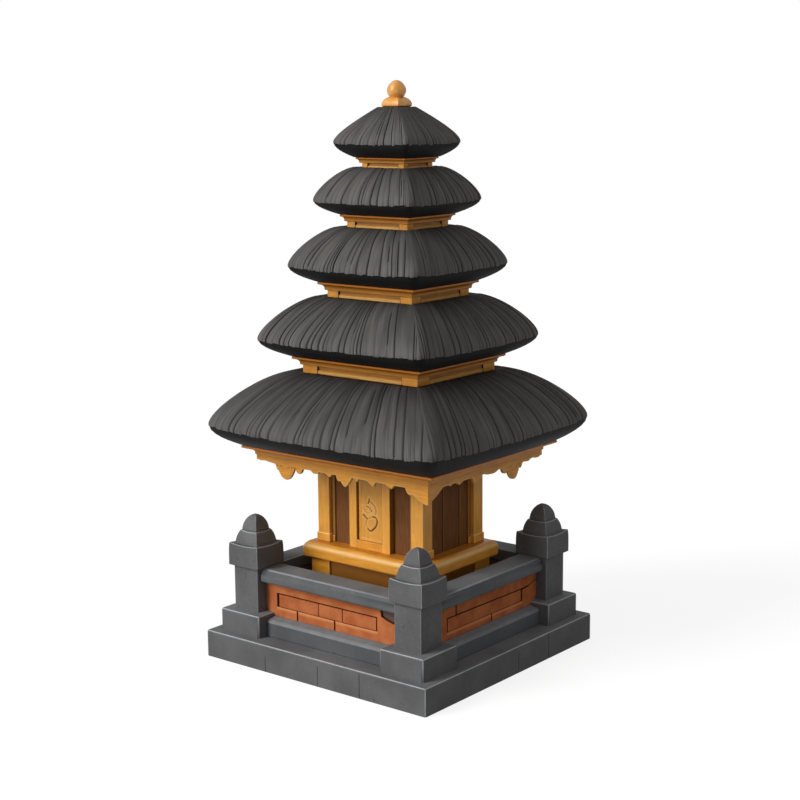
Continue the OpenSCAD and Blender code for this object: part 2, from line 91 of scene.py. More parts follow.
class Fibre(Enum):
    """What a thatch vertex is marked with, for the thatch's finish to read."""

    TONE = "fibre_tone"
    # Painted shade in the grooves between the locks, by their depth.
    PAINTED_SHADE = "fibre_hollow"
    BAND = "fibre_band"
    TIP = "fibre_tip"


class Grain(Enum):
    """Which way a timber's grain runs, as the stretch of its pattern along X, Y and Z."""

    LEVEL = (1.6, 1.6, 26.0)
    UPRIGHT = (22.0, 22.0, 1.3)


class Body(Enum):
    """The frame's bodies."""

    SHRINE = "shrine"
    DOOR = "door"


class Slot(Enum):
    """The material slots."""

    STONE = "andesite_stone"
    BRICK = "terracotta_brick"
    GILT = "gilded_timber"
    OCHRE = "ochre_eave_board"
    PLANK = "dark_planks"
    THATCH = "palm_thatch"
    BRASS = "gilded_finial"


def paint(red: int, green: int, blue: int) -> Colour:
    """Turn a paint chip's display values, from 0 to 255, into a linear opaque colour."""
    shares = (value / 255 for value in (red, green, blue))
    return (*(s / 12.92 if s <= 0.04045 else ((s + 0.055) / 1.055) ** 2.4 for s in shares), 1.0)


def clamped(value: float) -> float:
    """Keep a value between 0 and 1."""
    return max(0.0, min(1.0, value))


def hump(away: float, width: float) -> float:
    """Give 1 at the middle of a smooth hump, falling to 0 over about two widths."""
    return math.exp(-((away / width) ** 2))


# ---- Finishes ----


class Tree:
    """A material's or the world's node tree, put together one step at a time."""

    def __init__(self, owner: bpy.types.Material | bpy.types.World) -> None:
        """Take over the tree of its owner.

        Args:
            owner: The material or the world.
        """
        owner.use_nodes = True
        self.owner = owner
        self.nodes, self.links = owner.node_tree.nodes, owner.node_tree.links

    def feed(self, socket: Socket, value: Socket | Colour | float) -> None:
        """Link a socket to another one, or set its own value.

        Args:
            socket: The socket.
            value: The other socket, or the value.
        """
        if isinstance(value, (tuple, int, float)):
            socket.default_value = value
        else:
            self.links.new(value, socket)

    def add(
        self, kind: str, inputs: dict[str | int, Socket | Colour | float], **settings: str | bool
    ) -> Node:
        """Add a node.

        Args:
            kind: Its kind.
            inputs: What its inputs are fed with.
            settings: Its properties.

        Returns:
            The node.
        """
        node = self.nodes.new(kind)
        for name, value in settings.items():
            setattr(node, name, value)
        for name, value in inputs.items():
            self.feed(node.inputs[name], value)
        return node

    def combine(self, first: Socket, second: Socket | float, operation: str = "MULTIPLY") -> Socket:
        """Join two values in one operation."""
        return self.add("ShaderNodeMath", {0: first, 1: second}, operation=operation).outputs[0]

    def seen_directly(self) -> Socket:
        """Give 1 for rays that show the background, and 0 for those that carry light.

        Returns:
            The value's socket.
        """
        path = self.add("ShaderNodeLightPath", {})
        total = path.outputs["Is Camera Ray"]
        for name in ("Is Glossy Ray", "Is Transmission Ray"):
            total = self.combine(total, path.outputs[name], "MAXIMUM")
        return total


class Recipe(Tree):
    """A surface's node tree, with the steps that the finishes share."""

    def __init__(self, name: str) -> None:
        """Start a material with one principled surface."""
        super().__init__(bpy.data.materials.new(name))
        self.surface = self.nodes["Principled BSDF"]

    def place(self, stretch: Ring = (1.0, 1.0, 1.0), source: str = "Object") -> Socket:
        """Give a piece's place, or its own map, in pattern units: so many to a metre along each axis."""
        where = self.add("ShaderNodeTexCoord", {}).outputs[source]
        return self.add("ShaderNodeMapping", {"Vector": where, "Scale": stretch}).outputs["Vector"]

    def level(self) -> Socket:
        """Give a point's height over the ground."""
        where = self.add("ShaderNodeTexCoord", {}).outputs["Object"]
        return self.add("ShaderNodeSeparateXYZ", {0: where}).outputs["Z"]

    def cloud(self, where: Socket, size: float, detail: float = 3.0, rough: float = 0.55) -> Socket:
        """Give a soft random value over coordinates, by its clouds in a unit and their finer layers."""
        inputs = {"Vector": where, "Scale": size, "Detail": detail, "Roughness": rough}
        return self.add("ShaderNodeTexNoise", inputs).outputs["Fac"]

    def patches(self, size: float, detail: float = 3.0) -> Socket:
        """Give broad soft patches over a piece's place, from 0 to 1."""
        return self.span(self.cloud(self.place(), size, detail), 0.3, 0.7)

    def read(self, mark: Mark | Fibre) -> Socket:
        """Give the value that a piece's mesh is marked with."""
        return self.add("ShaderNodeAttribute", {}, attribute_name=mark.value).outputs["Fac"]

    def span(self, value: Socket, low: float, high: float, first: float = 0.0, last: float = 1.0) -> Socket:
        """Stretch the part of a value between two limits over a range, and clamp it.

        Args:
            value: The value.
            low: Its lower limit.
            high: Its upper limit.
            first: What the lower limit becomes.
            last: What the upper limit becomes.

        Returns:
            The stretched value's socket.
        """
        inputs = {"Value": value, "From Min": low, "From Max": high, "To Min": first, "To Max": last}
        node = self.add("ShaderNodeMapRange", inputs, clamp=True, interpolation_type="SMOOTHSTEP")
        return node.outputs["Result"]

    def blend(self, share: Socket, first: Socket | Colour, second: Socket | Colour) -> Socket:
        """Mix a second colour into a first one by its share."""
        return self.add("ShaderNodeMix", {0: share, 6: first, 7: second}, data_type="RGBA").outputs[2]

    def marked(
        self, colour: Socket, mark: Mark | Fibre, other: Colour, part: Socket | float | None = None
    ) -> Socket:
        """Lay another colour over a colour where the mesh is marked, by all or a part of the mark."""
        share = self.read(mark)
        return self.blend(share if part is None else self.combine(share, part), colour, other)

    def shaded(self, colour: Socket, mark: Mark | Fibre, *shades: Socket) -> Socket:
        """Scale a colour's brightness.

        Args:
            colour: The colour.
            mark: The mark that holds the mesh's own tone.
            shades: Values that scale the brightness too.

        Returns:
            The scaled colour's socket.
        """
        value = self.combine(self.read(mark), 1.0, "ADD")
        for shade in shades:
            value = self.combine(shade, value)
        node = self.add("ShaderNodeVectorMath", {0: colour, "Scale": value}, operation="SCALE")
        return node.outputs["Vector"]

    def relief(self, height: Socket, depth: float, strength: float) -> None:
        """Bump the surface by a height, over those bumps that it has already.

        Args:
            height: The height, from 0 to 1.
            depth: How deep the bumps are, in metres.
            strength: How strongly they show.
        """
        inputs = {"Strength": strength, "Distance": depth, "Height": height}
        normal = self.surface.inputs["Normal"]
        if normal.is_linked:
            inputs["Normal"] = normal.links[0].from_socket
        self.feed(normal, self.add("ShaderNodeBump", inputs).outputs["Normal"])

    def finish(
        self, colour: Socket, rough: Socket, specular: float, metallic: float = 0.0
    ) -> bpy.types.Material:
        """Join the colour and roughness to the surface, and hand the material over.

        Args:
            colour: The surface's colour.
            rough: Its roughness.
            specular: How strongly it reflects.
            metallic: How much of a metal it is.

        Returns:
            The material.
        """
        values = (colour, rough, specular, metallic)
        for name, value in zip(("Base Color", "Roughness", "Specular IOR Level", "Metallic"), values):
            self.feed(self.surface.inputs[name], value)
        return self.owner


@dataclass(frozen=True)
class StoneFinish:
    """Dark volcanic stone with a fine grain, small pits darkened by painted shade, and pale edges from wear
    and painted highlight.
    """

    name: str
    light: Colour
    dark: Colour
    edge: Colour
    hollow: Colour = paint(28, 28, 29)

    def mix(self) -> bpy.types.Material:
        """Build the material."""
        recipe = Recipe(self.name)
        where = recipe.place()
        grain = recipe.cloud(where, 60.0, 5.0, 0.7)
        pits = recipe.span(recipe.cloud(where, 17.0, 2.0, 0.5), 0.7, 0.78)
        colour = recipe.blend(recipe.patches(2.2, 4.0), self.dark, self.light)
        colour = recipe.shaded(colour, Mark.TONE, recipe.span(grain, 0.2, 0.8, 0.88, 1.1))
        # Painted shade in the pits.
        colour = recipe.blend(recipe.combine(pits, 0.55), colour, self.hollow)
        wear_and_highlight_share = recipe.span(recipe.cloud(where, 7.0), 0.3, 0.7, 0.75, 1.0)
        colour = recipe.marked(colour, Mark.WEAR_AND_HIGHLIGHT, self.edge, wear_and_highlight_share)
        colour = recipe.marked(colour, Mark.PAINTED_SHADE, self.hollow)
        recipe.relief(grain, 0.004, 0.35)
        recipe.relief(recipe.combine(pits, -1.0), 0.006, 0.6)
        return recipe.finish(colour, recipe.span(grain, 0.2, 0.8, 0.9, 0.66), 0.25)


@dataclass(frozen=True)
class BrickFinish:
    """Fired clay with soft patches, rims pale from wear and painted highlight, and painted shade in the
    joints.
    """

    name: str
    light: Colour = paint(196, 116, 68)
    dark: Colour = paint(172, 92, 50)
    edge: Colour = paint(236, 164, 106)
    hollow: Colour = paint(58, 26, 16)
    chipped: Colour = paint(98, 80, 74)

    def mix(self) -> bpy.types.Material:
        """Build the material."""
        recipe = Recipe(self.name)
        patches = recipe.patches(4.5, 4.0)
        grain = recipe.cloud(recipe.place(), 75.0, 4.0, 0.7)
        colour = recipe.blend(patches, self.dark, self.light)
        colour = recipe.shaded(colour, Mark.TONE, recipe.span(grain, 0.2, 0.8, 0.9, 1.08))
        colour = recipe.marked(colour, Mark.WEAR_AND_HIGHLIGHT, self.edge, 0.75)
        colour = recipe.marked(colour, Mark.ACCENT, self.chipped)
        colour = recipe.marked(colour, Mark.PAINTED_SHADE, self.hollow)
        recipe.relief(grain, 0.003, 0.45)
        recipe.relief(patches, 0.004, 0.3)
        return recipe.finish(colour, recipe.span(grain, 0.2, 0.8, 0.92, 0.74), 0.2)


@dataclass(frozen=True)
class TimberFinish:
    """Painted or bare timber with grain, edges pale from wear and painted highlight, and painted shade under
    the eaves.
    """

    name: str
    grain: Grain
    light: Colour
    dark: Colour
    edge: Colour
    hollow: Colour
    accent: Colour
    gloss: float = 0.42
    depth: float = 0.0015
    shine: float = 0.32
    eave_shade: float = 0.0
    eave_shade_levels: Point = (2.0, 2.4)

    def mix(self) -> bpy.types.Material:
        """Build the material."""
        recipe = Recipe(self.name)
        streaks = recipe.cloud(recipe.place(self.grain.value), 3.0, 5.0, 0.6)
        colour = recipe.blend(recipe.span(streaks, 0.3, 0.7), self.dark, self.light)
        shades = [recipe.span(recipe.patches(3.2), 0.0, 1.0, 0.93, 1.05)]
        # Painted shade under the eaves: darker towards the top.
        if self.eave_shade:
            shades.append(recipe.span(recipe.level(), *self.eave_shade_levels, 1.0, 1 - self.eave_shade))
        colour = recipe.shaded(colour, Mark.TONE, *shades)
        colour = recipe.marked(colour, Mark.ACCENT, self.accent)
        wear_and_highlight_share = recipe.span(recipe.cloud(recipe.place(), 9.0), 0.25, 0.65, 0.8, 1.0)
        colour = recipe.marked(colour, Mark.WEAR_AND_HIGHLIGHT, self.edge, wear_and_highlight_share)
        colour = recipe.marked(colour, Mark.PAINTED_SHADE, self.hollow)
        recipe.relief(streaks, self.depth, 0.5)
        rough = recipe.span(streaks, 0.25, 0.75, self.gloss + 0.12, self.gloss - 0.06)
        return recipe.finish(colour, rough, self.shine)


@dataclass(frozen=True)
class ThatchFinish:
    """Black palm fibre in smooth combed locks, with painted shade in the grooves, paler tips and a black cut
    edge.
    """

    name: str
    light: Colour = paint(96, 93, 91)
    dark: Colour = paint(76, 73, 71)
    # The colour of the painted shade in the grooves.
    groove: Colour = paint(30, 28, 27)
    tip: Colour = paint(122, 120, 119)
    band: Colour = paint(20, 19, 19)

    def mix(self) -> bpy.types.Material:
        """Build the material."""
        recipe = Recipe(self.name)
        fine = recipe.cloud(recipe.place((1.0, 0.04, 1.0), "UV"), 90.0, 2.0, 0.5)
        coarse = recipe.cloud(recipe.place((1.0, 0.16, 1.0), "UV"), 10.0, 1.5, 0.4)
        colour = recipe.blend(recipe.span(coarse, 0.28, 0.72), self.dark, self.light)
        broad = recipe.span(recipe.patches(1.8), 0.0, 1.0, 0.93, 1.06)
        colour = recipe.shaded(colour, Fibre.TONE, recipe.span(fine, 0.25, 0.75, 0.97, 1.03), broad)
        colour = recipe.marked(colour, Fibre.TIP, self.tip, recipe.span(fine, 0.35, 0.65, 0.35, 1.0))
        colour = recipe.marked(colour, Fibre.PAINTED_SHADE, self.groove)
        colour = recipe.marked(colour, Fibre.BAND, self.band)
        coat = recipe.combine(recipe.combine(recipe.read(Fibre.BAND), -1.0), 1.0, "ADD")
        recipe.relief(recipe.combine(fine, coat), 0.0015, 0.25)
        recipe.relief(recipe.combine(coarse, coat), 0.01, 0.3)
        return recipe.finish(colour, recipe.span(fine, 0.2, 0.8, 0.78, 0.68), 0.14)


@dataclass(frozen=True)
class BrassFinish:
    """Gilded metal, a little uneven, with painted shade where its surface turns away from the view."""

    name: str
    light: Colour = paint(240, 176, 84)
    dark: Colour = paint(214, 140, 54)
    edge: Colour = paint(252, 216, 140)
    rim: Colour = paint(166, 88, 22)

    def mix(self) -> bpy.types.Material:
        """Build the material."""
        recipe = Recipe(self.name)
        patches = recipe.patches(9.0)
        colour = recipe.marked(recipe.blend(patches, self.dark, self.light), Mark.WEAR_AND_HIGHLIGHT, self.edge)
        # Painted shade: darker towards the rims that turn away from the view.
        away = recipe.add("ShaderNodeLayerWeight", {}).outputs["Facing"]
        colour = recipe.blend(recipe.span(away, 0.35, 0.95, 0.0, 0.8), colour, self.rim)
        recipe.relief(recipe.cloud(recipe.place(), 90.0, 3.0, 0.6), 0.0015, 0.25)
        return recipe.finish(colour, recipe.span(patches, 0.0, 1.0, 0.4, 0.28), 0.6, 0.1)


@dataclass(frozen=True)
class Coat:
    """A mixed material, and the slot that its pieces belong to."""

    material: bpy.types.Material
    slot: Slot


class Palette:
    """Every coat on the shrine, mixed once."""

    def __init__(self) -> None:
        """Mix the whole palette."""
        gilt = {"edge": paint(255, 222, 150), "hollow": paint(62, 34, 10), "accent": paint(150, 90, 28)}
        upright = TimberFinish(
            "gilt_upright", Grain.UPRIGHT, paint(240, 174, 74), paint(224, 154, 54), eave_shade=0.3, **gilt
        )
        level = TimberFinish("gilt_level", Grain.LEVEL, paint(230, 160, 56), paint(210, 136, 38), **gilt)
        ochre = TimberFinish(
            "ochre_board", Grain.LEVEL, paint(222, 150, 52), paint(204, 128, 36),
            paint(246, 194, 112), paint(84, 44, 12), paint(216, 126, 30),
        )
        plank = TimberFinish(
            "bare_planks", Grain.UPRIGHT, paint(132, 86, 47), paint(106, 67, 36), paint(176, 124, 80),
            paint(28, 18, 11), paint(74, 62, 52), gloss=0.6, depth=0.002, shine=0.1, eave_shade=0.45,
        )
        stone = StoneFinish("andesite", paint(104, 104, 105), paint(90, 90, 91), paint(186, 190, 192))
        ledge = StoneFinish("andesite_ledge", paint(102, 104, 106), paint(90, 92, 94), paint(196, 200, 204))
        self.stone = Coat(stone.mix(), Slot.STONE)
        self.ledge = Coat(ledge.mix(), Slot.STONE)
        self.brick = Coat(BrickFinish("fired_clay").mix(), Slot.BRICK)
        self.gilt_upright = Coat(upright.mix(), Slot.GILT)
        self.gilt_level = Coat(level.mix(), Slot.GILT)
        self.ochre = Coat(ochre.mix(), Slot.OCHRE)
        self.plank = Coat(plank.mix(), Slot.PLANK)
        self.thatch = Coat(ThatchFinish("palm_fibre").mix(), Slot.THATCH)
        self.brass = Coat(BrassFinish("gilded_metal").mix(), Slot.BRASS)


# ---- Shapes ----


def is_upright(edge: Edge) -> bool:
    """Tell whether an edge runs straight up."""
    run = edge.verts[1].co - edge.verts[0].co
    return abs(run.z) > 0.9 * run.length


def is_crisp(edge: Edge, least: float = 25.0) -> bool:
    """Tell whether an edge is convex and its faces meet at more than the least angle, in degrees."""
    return edge.is_manifold and edge.is_convex and edge.calc_face_angle(0.0) > math.radians(least)


def is_rim(edge: Edge) -> bool:
    """Tell whether an edge is a crisp one round a top or a foot."""
    return not is_upright(edge) and is_crisp(edge, 40.0)


def is_hip(edge: Edge, longer: float = 0.0) -> bool:
    """Tell whether an edge runs down a corner of tiers that reach further along X than along Y."""
    apart = (abs(abs(vert.co.x) - abs(vert.co.y) - longer) for vert in edge.verts)
    return is_crisp(edge, 30.0) and max(apart) < 1e-5


def ridge_share(normal: Vector) -> float:
    """Rate how near a face on a rounded edge lies to the edge's middle, from 0 to 1."""
    parts = sorted((abs(normal.x), abs(normal.y), abs(normal.z)))
    # Faces that turn down get no paleness, so the painted highlight stays where light falls.
    return 0.0 if normal.z < -0.2 else (parts[1] / parts[2]) ** 2


class Shape:
    """A closed mesh being built, with marks on its faces for its finish."""

    def __init__(self, mesh: bmesh.types.BMesh | None = None) -> None:
        """Take a mesh over, or start an empty one with a layer for each mark.

        Args:
            mesh: The mesh to take over.
        """
        self.mesh = bmesh.new() if mesh is None else mesh
        for mark in Mark if mesh is None else ():
            self.mesh.faces.layers.float.new(mark.value)

    @classmethod
    def box(cls, low: Vector, high: Vector, cuts: int = 0) -> "Shape":
        """Make an upright box between two corners, with its edges cut a number of times.

        Args:
            low: Its lowest corner.
            high: Its highest corner.
            cuts: How many times each edge is cut.

        Returns:
            The box.
        """
        shape = cls()
        bmesh.ops.create_cube(shape.mesh, size=1.0)
        bmesh.ops.scale(shape.mesh, vec=high - low, verts=shape.mesh.verts)
        if cuts:
            bmesh.ops.subdivide_edges(shape.mesh, edges=shape.mesh.edges[:], cuts=cuts, use_grid_fill=True)
        return shape.shift((low + high) / 2)

    @classmethod
    def block(cls, low: Vector, high: Vector, corner: float, rim: float, foot: bool = True) -> "Shape":
        """Make a block with rounded uprights and softened rims.

        Args:
            low: Its lowest corner.
            high: Its highest corner.
            corner: Radius of its upright edges.
            rim: Width of the bevel round its top and foot.
            foot: Whether its foot is softened too.

        Returns:
            The block.
        """
        shape = cls.box(low, high).soften(corner, 5, lambda edge: is_upright(edge) and is_crisp(edge))
        return shape.soften(rim, 3, lambda e: is_rim(e) and (foot or e.verts[0].co.z > low.z + 0.001))

    @classmethod
    def tiers(cls, rings: list[Ring], cuts: int = 0) -> "Shape":
        """Stack level oblongs about the tower's axis, and close the top and the foot.

        Args:
            rings: Half width, half depth and level of each oblong, from the foot to the top.
            cuts: How many times each level edge is cut.

        Returns:
            The closed shape.
        """
        shape = cls()
        mesh = shape.mesh
        loops = [[mesh.verts.new((sx * x, sy * y, z)) for sx, sy in CORNERS] for x, y, z in rings]
        for lower, upper in zip(loops, loops[1:]):
            for k in range(4):
                mesh.faces.new((lower[k], lower[k - 3], upper[k - 3], upper[k]))
        if cuts:
            level = [e for e in mesh.edges if abs(e.verts[0].co.z - e.verts[1].co.z) < 1e-6]
            bmesh.ops.subdivide_edges(mesh, edges=level, cuts=cuts)
        return shape.close()

    @classmethod
    def rod(cls, foot: Vector, radius: float, height: float) -> "Shape":
        """Make an upright round rod on a foot point.

        Args:
            foot: The middle of its foot.
            radius: Its radius.
            height: Its height.

        Returns:
            The rod.
        """
        shape = cls()
        bmesh.ops.create_cone(
            shape.mesh, cap_ends=True, segments=24, radius1=radius, radius2=radius, depth=height,
        )
        return shape.shift(foot + Vector((0, 0, height / 2)))

    @classmethod
    def pushed(cls, outline: list[Vector], by: Vector) -> "Shape":
        """Push a flat outline along a vector.

        Args:
            outline: The outline's points.
            by: The vector.

        Returns:
            The closed shape.
        """
        shape = cls()
        shape.mesh.faces.new([shape.mesh.verts.new(point) for point in outline])
        return shape.thicken(by)

    def thicken(self, by: Vector) -> "Shape":
        """Close an open sheet into a slab, by pushing a copy of it along a vector.

        Args:
            by: The vector.

        Returns:
            The shape itself.
        """
        made = bmesh.ops.extrude_face_region(self.mesh, geom=self.mesh.faces[:], use_keep_orig=True)["geom"]
        far = [item for item in made if isinstance(item, bmesh.types.BMVert)]
        bmesh.ops.translate(self.mesh, vec=by, verts=far)
        return self.close()

    def close(self) -> "Shape":
        """Fill open loops and point every face outwards."""
        edges = [edge for edge in self.mesh.edges if edge.is_boundary]
        if edges:
            bmesh.ops.holes_fill(self.mesh, edges=edges, sides=0)
        bmesh.ops.recalc_face_normals(self.mesh, faces=self.mesh.faces)
        return self

    def layer(self, mark: Mark) -> bmesh.types.BMLayerItem:
        """Give the layer that holds a mark's values."""
        return self.mesh.faces.layers.float[mark.value]

    def soften(
        self, width: float, segments: int, pick: Callable[[Edge], bool] = is_crisp, wear_and_highlight_amount: float = 1.0
    ) -> "Shape":
        """Round off the picked edges and mark the new faces with wear and painted highlight.

        Args:
            width: Width of the bevel on each side of an edge.
            segments: How many strips the bevel has.
            pick: Chooses the edges.
            wear_and_highlight_amount: How pale the middle of the bevel is, from wear and painted highlight.

        Returns:
            The shape itself.
        """
        edges = [edge for edge in self.mesh.edges if pick(edge)]
        made = bmesh.ops.bevel(
            self.mesh, geom=edges, offset=width, offset_type="OFFSET", segments=segments,
            profile=0.5, affect="EDGES", clamp_overlap=True, material=-1,
        )
        layer = self.layer(Mark.WEAR_AND_HIGHLIGHT)
        for face in made["faces"]:
            face.normal_update()
            face.smooth = True
            face[layer] = wear_and_highlight_amount * ridge_share(face.normal)
        return self

    def slice(self, places: list[float], levels: list[float]) -> "Shape":
        """Cut the faces along upright planes at places along X, and then along levels.

        Args:
            places: Where the upright planes stand.
            levels: Where the level planes lie.

        Returns:
            The shape itself.
        """
        cuts = [((x, 0, 0), (1, 0, 0)) for x in places] + [((0, 0, z), (0, 0, 1)) for z in levels]
        for place, normal in cuts:
            geometry = self.mesh.verts[:] + self.mesh.edges[:] + self.mesh.faces[:]
            bmesh.ops.bisect_plane(self.mesh, geom=geometry, plane_co=place, plane_no=normal, dist=1e-5)
        return self

    def pale_edge(self, face: float, level: float, width: float, amount: float) -> "Shape":
        """Paint a highlight strip on the side that faces -Y, below its top edges at a level.

        Args:
            face: The side's place along Y.
            level: The level of the edges.
            width: The strip's width.
            amount: How strong the painted highlight is.

        Returns:
            The shape itself.
        """
        ends = {round(vert.co.x, 5) for vert in self.mesh.verts if abs(vert.co.z - level) < NEAR}
        layer = self.slice(sorted(ends), [level - width]).layer(Mark.WEAR_AND_HIGHLIGHT)
        for edge in self.mesh.edges:
            if is_crisp(edge) and all(abs(v.co.y - face) + abs(v.co.z - level) < NEAR for v in edge.verts):
                for side in edge.link_faces:
                    if side.normal.y < -0.9:
                        side[layer] = amount
        return self

    def mark(self, mark: Mark, amount: float, pick: Callable[[Face], bool] | None = None) -> "Shape":
        """Set a mark on the picked faces, or on all of them.

        Args:
            mark: The mark.
            amount: Its value.
            pick: Chooses the faces.

        Returns:
            The shape itself.
        """
        layer = self.layer(mark)
        for face in self.mesh.faces:
            if pick is None or pick(face):
                face[layer] = amount
        return self

    def top_light_and_dust(self, amount: float) -> "Shape":
        """Pale the faces that lie flat, facing up: dust and painted light from above."""
        return self.mark(Mark.TONE, amount, lambda face: face.normal.z > 0.9)

    def move(self, change: Callable[[Vector], Vector]) -> "Shape":
        """Move every vertex by a rule.

        Args:
            change: Gives a vertex's new place for its old one.

        Returns:
            The shape itself.
        """
        for vert in self.mesh.verts:
            vert.co = change(vert.co.copy())
        return self

    def turn(self, side: int) -> "Shape":
        """Turn the shape about the tower's axis, from the front to a side by its number.

        Args:
            side: The side's number, from the front round to the left.

        Returns:
            The shape itself.
        """
        spin = Matrix.Rotation(math.radians(90 * side), 3, "Z")
        bmesh.ops.rotate(self.mesh, cent=(0, 0, 0), matrix=spin, verts=self.mesh.verts)
        return self

    def shift(self, by: Vector) -> "Shape":
        """Move the whole shape."""
        bmesh.ops.translate(self.mesh, vec=by, verts=self.mesh.verts)
        return self

    def smooth(self) -> "Shape":
        """Shade every face smooth."""
        for face in self.mesh.faces:
            face.smooth = True
        return self

    def score(self, at: float, low: float, high: float, half: float, depth: float) -> "Shape":
        """Cut a thin upright joint into the side that faces -Y, and darken its faces with painted shade.

        Args:
            at: The joint's place along X.
            low: Where it starts.
            high: Where it ends.
            half: Half its width.
            depth: How deep it is.

        Returns:
            The shape itself.
        """
        hollow = self.slice([at - half, at, at + half], [low, high]).layer(Mark.PAINTED_SHADE)
        front = min(vert.co.y for vert in self.mesh.verts)
        for vert in self.mesh.verts:
            inside = low - NEAR <= vert.co.z < high - NEAR
            if abs(vert.co.x - at) < NEAR and inside and vert.co.y < front + 0.05:
                vert.co.y += depth
                for face in vert.link_faces:
                    face[hollow] = 0.85
        return self


def corner_of(low: Vector, high: Vector, size: float, signs: Point) -> Vector:
    """Give the foot of a square post of a size that stands in the corner of a box with the given signs."""
    x, y = (low[k] if signs[k] < 0 else high[k] - size for k in (0, 1))
    return Vector((x, y, low.z))


def stand(name: str, data: bpy.types.ID) -> bpy.types.Object:
    """Put an object with its data into the scene.

    Args:
        name: The object's name.
        data: Its data.

    Returns:
        The object.
    """
    thing = bpy.data.objects.new(name, data)
    bpy.context.scene.collection.objects.link(thing)
    return thing


def joined(shapes: list[Shape]) -> bmesh.types.BMesh:
    """Join shapes, which are used up, into one mesh.

    Args:
        shapes: The shapes.

    Returns:
        The mesh.
    """
    whole = bmesh.new()
    for shape in shapes:
        part = bpy.data.meshes.new("part")
        shape.mesh.to_mesh(part)
        shape.mesh.free()
        whole.from_mesh(part)
        bpy.data.meshes.remove(part)
    return whole


def assemble(
    name: str, node: str, shapes: list[Shape], coat: Coat, crease: float = 0.0, body: Body = Body.SHRINE
) -> None:
    """Join shapes into one piece, dress it and hang it on its body.

    Args:
        name: The piece's name.
        node: The frame's node that it stands for.
        shapes: Its shapes, which are used up.
        coat: The coat whose material it takes.
        crease: The angle in degrees over which its smooth faces part, or 0 for none.
        body: The body that it rides on.
    """
    mesh = bpy.data.meshes.new(name)
    whole = joined(shapes)
    whole.to_mesh(mesh)
    whole.free()
    mesh.materials.append(coat.material)
    piece = stand(name, mesh)
    if crease:
        mesh.set_sharp_from_angle(angle=math.radians(crease))
    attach(piece, body.value)
    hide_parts(node)
    log.info("%s: %d triangles", name, sum(len(face.vertices) - 2 for face in mesh.polygons))


# ---- Stonework ----


@dataclass
class Plinth:
    """The square stone plinth, with a few open joints given by their place, foot and top."""

    corner: float = 0.026
    rim: float = 0.022
    top_light_and_dust: float = 0.36
    joint_half: float = 0.004
    joint_depth: float = 0.008
    joints: tuple[Ring, ...] = ((-0.73, 0.02, 0.2), (0.11, 0.03, 0.26), (0.75, 0.02, 0.31))

    def build(self, palette: Palette) -> None:
        """Build the plinth and dress it.

        Args:
            palette: The shrine's coats.
        """
        stone = Shape.block(*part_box("plinth"), self.corner, self.rim, False).top_light_and_dust(self.top_light_and_dust)
        for side in range(4):
            for at, foot, top in self.joints[side % 2:]:
                stone.score(at, foot, top, self.joint_half, self.joint_depth)
            stone.turn(1)
        assemble("plinth_stone", "plinth", [stone], palette.stone)


@dataclass(frozen=True)
class Brick:
    """One brick of a panel: its outline along the panel and up from its foot, and its character.

    A painted highlight strip runs below the level given by `lit`, where the row above is sunk.
    """

    outline: tuple[Point, ...]
    back: float = 0.0
    tone: float = 0.0
    rim: float = 0.006
    lit: float = -1.0
    chipped: bool = False


